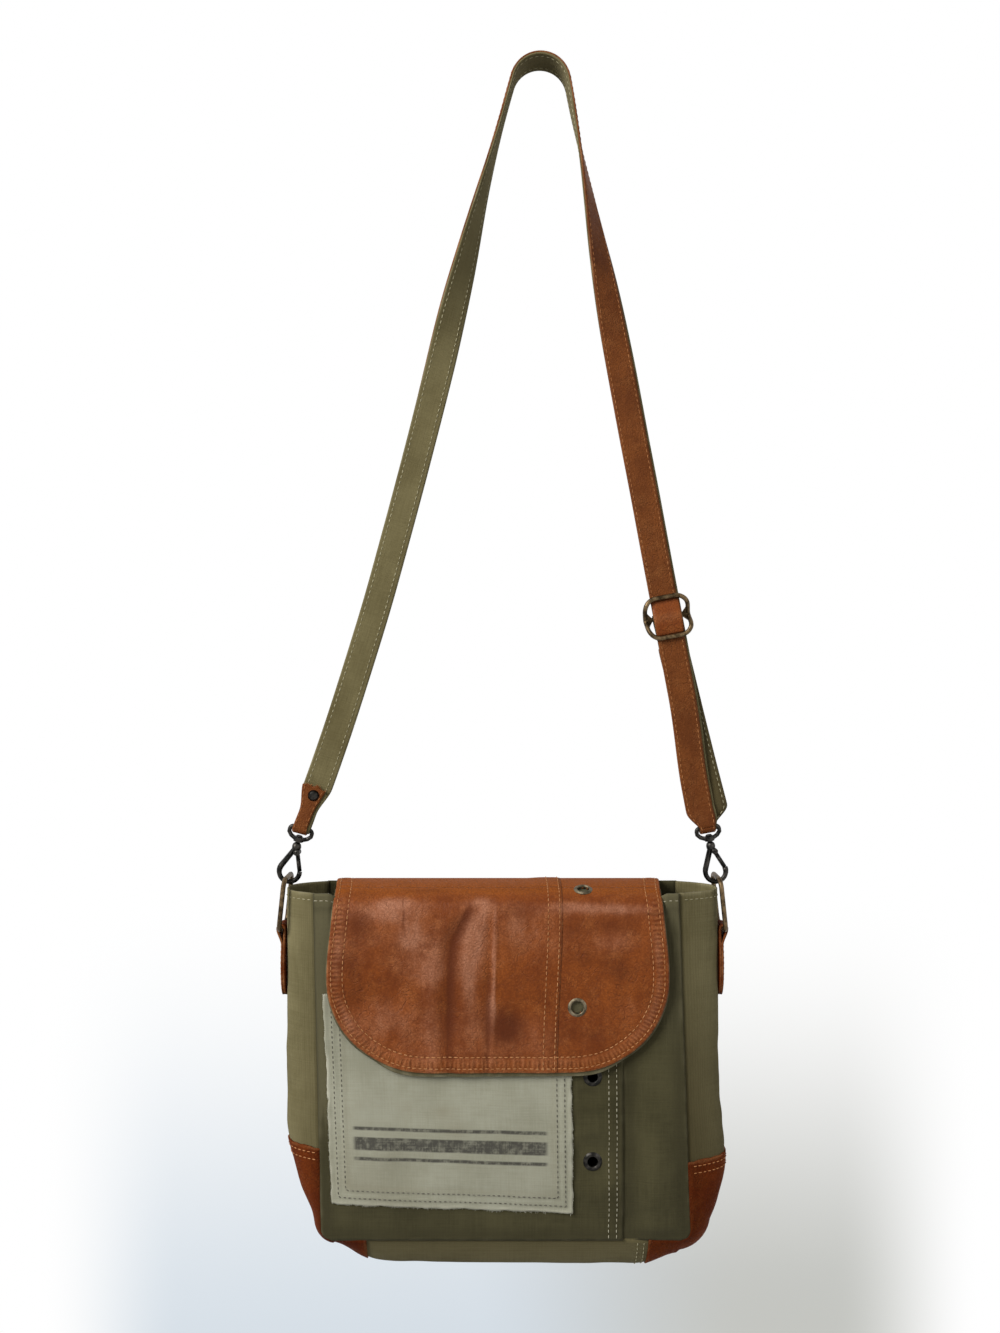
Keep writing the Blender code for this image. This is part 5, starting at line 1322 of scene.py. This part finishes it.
def makeTab(name, side, node):
    size = tabSizes
    places = []
    shares = [1.0 - (1.0 - k / 40) ** 1.6 for k in range(41)]
    for share in reversed(shares):
        places.append((-size["fold"], -size["length"] * share, Vector((-side, 0.0, 0.0)), share))
    for k in range(1, 12):
        turn = math.pi * (1.0 - k / 12)
        places.append((size["fold"] * math.cos(turn), size["fold"] * math.sin(turn),
                       Vector((side * math.cos(turn), 0.0, math.sin(turn))), 0.0))
    for share in shares:
        drop = size["length"] * share
        pinch = (2 * size["fold"] - size["gap"]) * ease(drop, 0.0, size["pinch"])
        places.append((size["fold"] - pinch, -drop, Vector((side, 0.0, 0.0)), share))
    cells = []
    for away, rise, out, share in places:
        half = tabHalf(share)
        spot = Vector((body["centreX"] + side * (size["ringX"] + away), 0.0, size["footZ"] + rise))
        spot = spot + out * size["depth"]
        rub = 0.6 + ripple(rise, side, 90.0, 81.0)
        line = []
        for c in (2.0 * k - 1.0 for k in spread(13)):
            edge = 1.0 - abs(c)
            place = spot + depthY * (half * c) - out * (0.0003 * nearMark(edge, 0.10))
            wear = rub * max(nearMark(edge, 0.12), nearMark(1.0 - share, 0.06))
            crease = 0.4 * nearMark(abs(c) - 0.72, 0.08) + 0.3 * nearMark(share, 0.08)
            line.append((place, (half * c, rise), wear, crease))
        cells.append(line)
    obj = laySkin(name, cells, ("wear", "crease"), size["depth"], side > 0)
    settle(obj, leather["corner"], "dark_leather", "bag", nodes=[node])
    rowX = body["centreX"] + side * (size["ringX"] - size["fold"] + size["gap"] + size["depth"] + 0.0001)
    rows = []
    for sign in (-1, 1):
        rows.append([Vector((rowX, sign * max(tabHalf(s) - size["rowInset"], 0.0), size["footZ"] - size["length"] * s))
                     for s in np.linspace(*size["rowSpan"], 40)])
    return rows


tabRows = makeTab("tabLeft", -1.0, "tab_left") + makeTab("tabRight", 1.0, "tab_right")
sew("tabStitches", tabRows, "tab", body="bag")
print("tabs made")


# strap: a leather ply sewn on a canvas ply, folded through an eye at each end

strap = {
    "half": 0.01075, "endHalf": 0.0062, "narrow": {"left": (0.012, 0.034), "right": (0.0005, 0.0135)}, "pinch": 0.018,
    "barDepth": 0.0019, "restDepth": 0.00015, "leatherTop": 0.0026, "leatherDepth": 0.0014, "canvasDepth": 0.0011,
    "hang": Vector((0.0, 0.0, -0.020)), "hangRadius": 0.020, "sag": 0.0078, "tail": 0.0325, "sliderAt": 0.1585,
    "loopRadius": 0.0020, "sliderBar": 0.00315, "returnEnd": 0.1362, "loopEnd": 0.016,
    "leatherReach": (-1.0, 0.88), "tailReach": 0.70, "canvasReach": (-0.97, 1.03), "cols": 15,
    "loopRest": 0.0028, "loopPinch": 0.0112, "tailCurl": 0.0016, "returnAside": 0.0076, "returnBow": 0.0016,
    "rightAside": -0.0030, "wobble": 0.0005,
    "outerRows": (-0.80, 0.68), "innerRows": (-0.68, 0.68), "returnRows": (-0.80, 0.80), "rowLift": 0.0001,
}
runs = {
    "left": {"side": -1.0, "up": Vector((0.273559, 0.0, 0.961855)), "eye": Vector((-0.17674, 0.0, -0.568321)),
             "length": 0.575754, "twist": (0.020, 0.270)},
    "right": {"side": 1.0, "up": Vector((-0.185989, 0.0, 0.982552)), "eye": Vector((0.124002, 0.0, -0.56755)),
              "length": 0.561059, "twist": (0.0, 0.240)},
}
for run in runs.values():
    run["across"] = Vector((run["up"].z, 0.0, -run["up"].x))


def runPoint(run, d):
    share = d / run["length"]
    sag = strap["sag"] * share * (1.0 - share) ** 2 * 6.75 if run["side"] < 0 else 0.0
    return run["eye"] + run["up"] * d + run["across"] * sag


def legDepth(d):
    return blendTo(strap["barDepth"], strap["restDepth"], ease(d, 0.0, strap["pinch"]))


def strapHalf(d, side="left"):
    start, end = strap["narrow"][side]
    share = ease(d, start, end)
    if side == "right":
        share = math.sin(math.pi / 2 * min(max((d - start) / (end - start), 0.0), 1.0))
    return blendTo(strap["endHalf"], strap["half"], share)


def tailTip(c):
    return strap["tail"] - 0.0018 * c - 0.0016 * c * c + 0.0026 * ripple(c, 0.2, 3.2, 61.0)


def strapStation(kind, value, c):
    # middle point, way out of the leather side, way across and half width
    run = runs["right" if kind in ("right", "foldRight", "return") else "left"]
    up, across = run["up"], run["across"]
    if kind == "tail":
        d = value * tailTip(c)
        curl = strap["tailCurl"] * ease(d, 0.030, 0.036) * (0.5 - c)
        return runPoint(run, d) - depthY * (legDepth(d) + curl), -depthY, across, strapHalf(d)
    if kind == "foldLeft" or kind == "foldRight":
        out = -run["side"] * -depthY * math.cos(value) - up * math.sin(value)
        return run["eye"] + out * strap["barDepth"], out, across, strapHalf(0.0)
    if kind == "hang":
        out = Vector((math.cos(value), 0.0, math.sin(value)))
        return strap["hang"] + out * strap["hangRadius"], out, depthY, strap["half"]
    if kind == "return":
        d = value
        aside = strap["returnAside"] * ease(d, 0.0, 0.014) * max(1.0 - d / 0.132, 0.0)
        bow = strap["returnBow"] * ease(d, 0.01, 0.05) * (1.0 - ease(d, 0.075, 0.125))
        return (runPoint(run, d) + depthY * (legDepth(d) + bow) + across * aside, depthY, across, strapHalf(d, "right"))
    d = value
    flat = 1.0 - ease(d, run["length"] - run["twist"][1], run["length"] - run["twist"][0])
    turn = math.pi / 2 * flat
    face = depthY * -run["side"]
    out = across * run["side"] * math.cos(turn) + face * math.sin(turn)
    aside = strap["rightAside"] * ease(d, 0.0, 0.014) * (1.0 - ease(d, 0.030, 0.100)) if kind == "right" else 0.0
    wobble = strap["wobble"] * ripple(d, 0.0, 14.0, 63.0 + run["side"]) * ease(d, 0.02, 0.08)
    point = runPoint(run, d) + face * legDepth(d) * flat + across * (aside + wobble)
    return point, out, up.cross(out) * run["side"], strapHalf(d, kind)


def strapPlace(kind, value, c, lift):
    point, out, across, half = strapStation(kind, value, c)
    return point + across * (c * half) + out * lift


leftOut = math.atan2(-runs["left"]["across"].z, -runs["left"]["across"].x)
rightOut = math.atan2(runs["right"]["across"].z, runs["right"]["across"].x)
if leftOut < 0:
    leftOut += 2 * math.pi
mainRows = [("tail", 1.0 - k / 26) for k in range(26)] + [("foldLeft", math.pi * k / 12) for k in range(13)]
mainRows += [("left", d) for d in np.linspace(0.0006, runs["left"]["length"], 330)]
mainRows += [("hang", turn) for turn in np.linspace(leftOut, rightOut, 42)[1:-1]]
mainRows += [("right", d) for d in np.linspace(runs["right"]["length"], 0.0, 330)]
returnRows = [("foldRight", math.pi * (1.0 - k / 12)) for k in range(13)]
returnRows += [("return", d) for d in np.linspace(0.0006, strap["returnEnd"], 90)]


def strapMarks(c, run, seed):
    edge = 1.0 - abs(c)
    rub = 0.55 + ripple(c, run, 60.0, seed)
    return rub * 0.9 * nearMark(edge, 0.07), 0.35 * nearMark(abs(c) - 0.78, 0.07)


def leatherLift(c, low, high):
    edge = min(c - low, high - c)
    return strap["leatherTop"] - 0.0005 * nearMark(edge, 0.05) - 0.00022 * nearMark(edge - 0.20, 0.05)


def alongBand(points):
    # length so far down the middle of the band, at each row
    middle, far = strap["cols"] // 2, [0.0]
    for before, after in zip(points, points[1:]):
        far.append(far[-1] + (after[middle] - before[middle]).length)
    return far


def makeLeatherPly(name, rows):
    points, spans = [], []
    for kind, value in rows:
        low, high = strap["leatherReach"]
        if kind in ("tail", "foldLeft"):
            high = blendTo(strap["tailReach"], high, value / math.pi) if kind == "foldLeft" else strap["tailReach"]
        line = [blendTo(low, high, c) for c in spread(strap["cols"])]
        points.append([strapPlace(kind, value, c, leatherLift(c, low, high)) for c in line])
        spans.append((low, high, line))
    cells = []
    for row, (low, high, line), far in zip(points, spans, alongBand(points)):
        marks = [strapMarks(blendTo(-1.0, 1.0, (c - low) / (high - low)), far, 71.0) for c in line]
        cells.append([(p, (c * strap["half"], far), *mark) for p, c, mark in zip(row, line, marks)])
    return laySkin(name, cells, ("wear", "crease"), strap["leatherDepth"], True)


def makeCanvasPly(name, rows, extra=(), shade=0.0):
    line = [blendTo(*strap["canvasReach"], c) for c in spread(strap["cols"])]
    puff = [0.00012 * nearMark(abs(c) - 0.60, 0.14) for c in line]
    points = [[strapPlace(kind, value, c, -p) for c, p in zip(line, puff)] for kind, value in rows]
    points += extra
    cells = []
    for row, far in zip(points, alongBand(points)):
        marks = [strapMarks(c, far, 73.0) for c in line]
        # darkerAlong: darker further along the band, up the left run and on; shade paints a run darker as painted shade
        darkerAlong = 0.16 * ease(far, 0.16, 0.40)
        cells.append([(p, (c * strap["half"], far), worn, dark + shade + darkerAlong)
                      for p, c, (worn, dark) in zip(row, line, marks)])
    return laySkin(name, cells, ("wear", "grimeAndShade"), strap["canvasDepth"])


def loopRows():
    # the canvas end goes up behind the strap, over the slider's middle bar and down again
    run = runs["right"]
    bar = run["eye"] + run["up"] * strap["sliderAt"] + depthY * strap["sliderBar"]
    reach = strap["loopRadius"] + strap["canvasDepth"] * 0.9
    cols = [blendTo(*strap["canvasReach"], c) for c in spread(strap["cols"])]
    rows = []
    for d in np.linspace(strap["returnEnd"] + 0.0015, strap["sliderAt"] - 0.0005, 14):
        rows.append([strapPlace("return", d, c, 0.0) for c in cols])
    front = rows[-1][strap["cols"] // 2].y
    for turn in np.linspace(0.0, math.pi, 14)[1:]:
        out = run["up"] * math.sin(turn) - depthY * math.cos(turn)
        spot = bar + out * reach
        if turn < math.pi / 2:
            spot.y = blendTo(front, spot.y, ease(turn, 0.0, math.pi / 2))
        rows.append([spot + run["across"] * (c * strap["half"]) for c in cols])
    for k in range(1, 12):
        drop = strap["loopEnd"] * k / 11
        y = strap["sliderBar"] + reach - (2 * reach - strap["loopRest"]) * ease(drop, 0.0, strap["loopPinch"])
        spot = run["eye"] + run["up"] * (strap["sliderAt"] - drop) + depthY * y
        rows.append([spot + run["across"] * (c * strap["half"]) for c in cols])
    return rows


slideBlend = ("strap", "slider", tuple(runs["right"]["eye"] + runs["right"]["up"] * 0.004),
              tuple(runs["right"]["eye"] + runs["right"]["up"] * 0.1365))
settle(makeLeatherPly("strapLeather", mainRows), leather["strap"], "tan_leather", "strap", nodes=["strap_leather"])
settle(makeCanvasPly("strapCanvas", mainRows), canvas["strap"], "light_canvas", "strap", nodes=["strap_canvas"])
settle(makeLeatherPly("returnLeather", returnRows), leather["strap"], "tan_leather", between=slideBlend,
       nodes=["strap_return_leather"])
# the return canvas is painted dark (0.95): painted shade, as it hangs behind the strap
settle(makeCanvasPly("returnCanvas", returnRows, loopRows(), 0.95), canvas["strap"], "light_canvas", between=slideBlend,
       nodes=["strap_return_canvas", "strap_end_loop"])


def strapRow(rows, c, lift, tailC=None):
    # on the narrow tail the row keeps clear of the edge
    return [strapPlace(kind, value, tailC if tailC and kind == "tail" else c, lift) for kind, value in rows]


sewnMain, leatherRow = mainRows[2:], strap["leatherTop"] - strap["rowLift"]
first, second = strap["outerRows"]
outerRows = [strapRow(sewnMain, first, leatherRow), strapRow(sewnMain, second, leatherRow, 0.52)]
innerRows = [strapRow(sewnMain, c, -strap["rowLift"]) for c in strap["innerRows"]]
returnOuter = [strapRow(returnRows, c, leatherRow) for c in strap["outerRows"]]
returnInner = [strapRow(returnRows, c, -strap["rowLift"]) for c in strap["returnRows"]]
sew("strapLeatherStitches", outerRows, "strapLeather", body="strap")
sew("strapCanvasStitches", innerRows, "strapCanvas", body="strap")
sew("returnLeatherStitches", returnOuter, "strapLeather", between=slideBlend)
sew("returnCanvasStitches", returnInner, "strapCanvas", between=slideBlend)
tipRow = [strapPlace("tail", 1.0, c, 0.0016) for c in np.linspace(-0.95, 0.68, 24)]
tipLeans = [runs["left"]["up"] - depthY * 0.3 for p in tipRow]
fray("tailFray", tipRow, tipLeans, "tail", body="strap")
print("strap made")


# slider: bowed wire frame with webs at the middle bar, and the strap's hump over that bar

sliderSizes = {
    "halfWidth": 0.0161, "halfHeight": 0.0148, "corner": 0.0090, "wire": 0.0017, "barDepth": 0.00315,
    "outerDepth": -0.00475, "web": 0.0066, "webReach": 0.0062, "webDepth": 0.0021, "hump": 0.0022,
    "humpBase": 0.0032, "humpReach": 0.0126, "humpDepth": 0.0004, "humpSides": (-0.99, 0.93),
}


def runSpot(run, across, depth, up):
    spot = run["eye"] + run["up"] * (strap["sliderAt"] + up)
    return spot + run["across"] * across + depthY * depth


def sliderDepth(up):
    size = sliderSizes
    share = min(abs(up) / (size["halfHeight"] - size["corner"] / 2), 1.0)
    return blendTo(size["barDepth"], size["outerDepth"], ease(share, 0.0, 1.0) * 0.6 + share * 0.4)


def makeTube(name, path, radius, closed, sides=14):
    rings, count = [], len(path)
    side = None
    for i, point in enumerate(path):
        before = path[i - 1] if closed or i else point
        after = path[(i + 1) % count] if closed or i + 1 < count else point
        along = (after - before).normalized()
        side = depthY.cross(along) if side is None else side - along * side.dot(along)
        side = side.normalized()
        over = along.cross(side)
        turns = [2 * math.pi * k / sides for k in range(sides)]
        rings.append([point + side * (radius * math.cos(t)) + over * (radius * math.sin(t)) for t in turns])
    if closed:
        rings.append(rings[0])
    cuts = [[(k / sides, i * 0.001) for k in range(sides + 1)] for i in range(len(rings))]
    obj = layGrid(name, rings, cuts, wrap=True)
    return weldMesh(obj)


def weldMesh(obj, close=True):
    work = bmesh.new()
    work.from_mesh(obj.data)
    bmesh.ops.remove_doubles(work, verts=work.verts, dist=1e-6)
    if close:
        bmesh.ops.holes_fill(work, edges=[e for e in work.edges if e.is_boundary], sides=64)
        bmesh.ops.recalc_face_normals(work, faces=work.faces)
    work.to_mesh(obj.data)
    work.free()
    obj.data.shade_smooth()
    obj.data.set_sharp_from_angle(angle=math.radians(50.0))
    return obj


def makeSlider():
    size, run = sliderSizes, runs["right"]
    path = []
    w, h, r = size["halfWidth"], size["halfHeight"], size["corner"]
    for sx, sz, start in ((1, 1, 0.0), (-1, 1, 0.5), (-1, -1, 1.0), (1, -1, 1.5)):
        for k in range(15):
            turn = math.pi * (start + 0.5 * k / 14)
            path.append((sx * (w - r) + r * math.cos(turn), sz * (h - r) + r * math.sin(turn)))
    dense = []
    for (ax, az), (bx, bz) in zip(path, path[1:] + path[:1]):
        steps = max(int(math.hypot(bx - ax, bz - az) / 0.0012), 1)
        dense += [(blendTo(ax, bx, k / steps), blendTo(az, bz, k / steps)) for k in range(steps)]
    wire = [runSpot(run, x, sliderDepth(z), z) for x, z in dense]
    parts = [makeTube("sliderWire", wire, size["wire"], True)]
    ends = [runSpot(run, x, size["barDepth"], 0.0) for x in np.linspace(-w + 0.0006, w - 0.0006, 12)]
    parts.append(makeTube("sliderBar", ends, size["wire"] * 0.95, False))
    for sign in (-1, 1):
        rings = []
        for k in spread(17):
            z = blendTo(-size["web"], size["web"], k)
            inner = size["webReach"] * (1.0 - (abs(z) / size["web"]) ** 0.8)
            front, back = sliderDepth(z) - size["webDepth"] / 2, sliderDepth(z) + size["webDepth"] / 2
            corners = ((w, front), (w - inner - 0.0004, front), (w - inner - 0.0004, back), (w, back))
            rings.append([runSpot(run, sign * x, y, z) for x, y in corners])
        cuts = [[(0.001 * j, 0.001 * i) for j in range(5)] for i in range(17)]
        parts.append(weldMesh(layGrid("sliderWeb%d" % sign, rings, cuts, wrap=True)))
    settle(joinPieces("strapSlider", parts), metal["brass"], "antique_brass", "slider", nodes=["slider"])
    cells, reach = [], size["humpReach"]
    for k in spread(44):
        z = blendTo(-reach, reach, k)
        rise = size["humpBase"] + size["hump"] * math.cos(math.pi / 2 * z / reach) ** 1.2
        line = []
        for c in (blendTo(*size["humpSides"], share) for share in spread(21)):
            edge = 1.0 - abs(c)
            place = runSpot(run, c * strap["half"], -rise + 0.0006 * nearMark(edge, 0.12), z)
            wear = 0.45 * nearMark(z, 0.005) + 0.5 * nearMark(edge, 0.06)
            line.append((place, (c * strap["half"], z), wear, 0.5 * nearMark(reach - abs(z), 0.0022)))
        cells.append(line)
    hump = laySkin("strapHump", cells, ("wear", "crease"), size["humpDepth"])
    settle(hump, leather["flap"], "tan_leather", "slider")


makeSlider()
print("slider made")


# rings, clips, eyelets and rivet keep the solids' shapes, welded and smoothly shaded

def dressNode(node, body, mat, slot, swell=None):
    source = bpy.data.objects[node]
    obj = bpy.data.objects.new(node.replace("_", " ").title().replace(" ", "") + "Metal", source.data.copy())
    bpy.context.scene.collection.objects.link(obj)
    weldMesh(obj, close=False)
    if swell:
        for vert, spot in [(v, v.co + v.normal * swell(v.co)) for v in obj.data.vertices]:
            vert.co = spot
    return settle(obj, mat, slot, body, nodes=[node])


clip = {"bendZ": -0.6005, "flank": 0.0004, "bend": 0.0002, "gate": 0.0003}


def clipSwell(spot):
    # a cast frame is stouter up its flanks than in the bend that carries the ring
    up = spot.z - clip["bendZ"]
    return (clip["bend"] + clip["flank"] * ease(up, -0.003, 0.004)) * (1.0 - ease(up, 0.016, 0.019))


def gateSwell(spot):
    return clip["gate"]


for word in ("left", "right"):
    dressNode("ring_" + word, "ring_" + word, metal["brass"], "antique_brass")
    dressNode("eye_" + word, "strap", metal["black"], "black_metal")
    dressNode("hook_" + word, "hook_" + word, metal["black"], "black_metal", clipSwell)
    dressNode("gate_pin_" + word, "hook_" + word, metal["black"], "black_metal")
    dressNode("gate_" + word, "gate_" + word, metal["black"], "black_metal", gateSwell)
dressNode("strap_rivet", "strap", metal["black"], "black_metal")

eyelet = {"barrel": 0.0048, "rim": 0.0068, "crown": 0.0011, "seat": 0.0003, "washer": 0.0062, "turns": 48,
          "roll": (0.0051, 0.0056, 0.0061), "frontHole": 0.0036, "flapHole": 0.0043, "behind": 0.0002}


def makeEyelet(name, centre, out, wall, hole, mat, slot, body, nodes):
    # rolled rim, barrel through the plies and a washer behind, turned as one ring
    size = eyelet
    seat, crown, rim, barrel, washer = (size[key] for key in ("seat", "crown", "rim", "barrel", "washer"))
    top, shoulder, slope = size["roll"]
    profile = [(hole, -wall), (hole, seat), (hole + 0.0003, crown * 0.72), (top, crown), (shoulder, crown * 0.92),
               (slope, crown * 0.55), (rim, 0.0001), (rim, -seat), (barrel, -seat), (barrel, -wall), (washer, -wall),
               (washer, -wall - 0.0003), (barrel, -wall - 0.0006)]
    side = out.cross(acrossX).normalized()
    over = out.cross(side)
    turns = [2.0 * math.pi * k / size["turns"] for k in range(size["turns"])]
    rings = []
    for radius, rise in profile + profile[:1]:
        rings.append([centre + out * rise + (side * math.cos(t) + over * math.sin(t)) * radius for t in turns])
    cuts = [[(0.001 * k, 0.001 * i) for k in range(size["turns"] + 1)] for i in range(len(rings))]
    obj = weldMesh(layGrid(name, rings, cuts, wrap=True))
    return settle(obj, mat, slot, body, nodes=nodes)


for word, (x, drop) in zip(("upper", "lower"), body["eyelets"]):
    makeEyelet("frontEyelet" + word.title(), bagPoint(x, frontY(x, drop), drop), -depthY,
               body["wall"] + eyelet["behind"], eyelet["frontHole"], metal["black"], "black_metal", "bag",
               ["front_eyelet_" + word, "front_washer_" + word])
for word, (x, s) in zip(("top", "front"), eyeletSpots):
    lift = underLift(x, s) + flap["leatherDepth"]
    makeEyelet("flapEyelet" + word.title(), flapPoint(x, s, lift), flapOut(s),
               lift + eyelet["behind"], eyelet["flapHole"], metal["pale"], "antique_brass", "flap_" + word,
               ["flap_%s_eyelet" % word, "flap_%s_washer" % word])
print("metal dressed")


print("scene done")
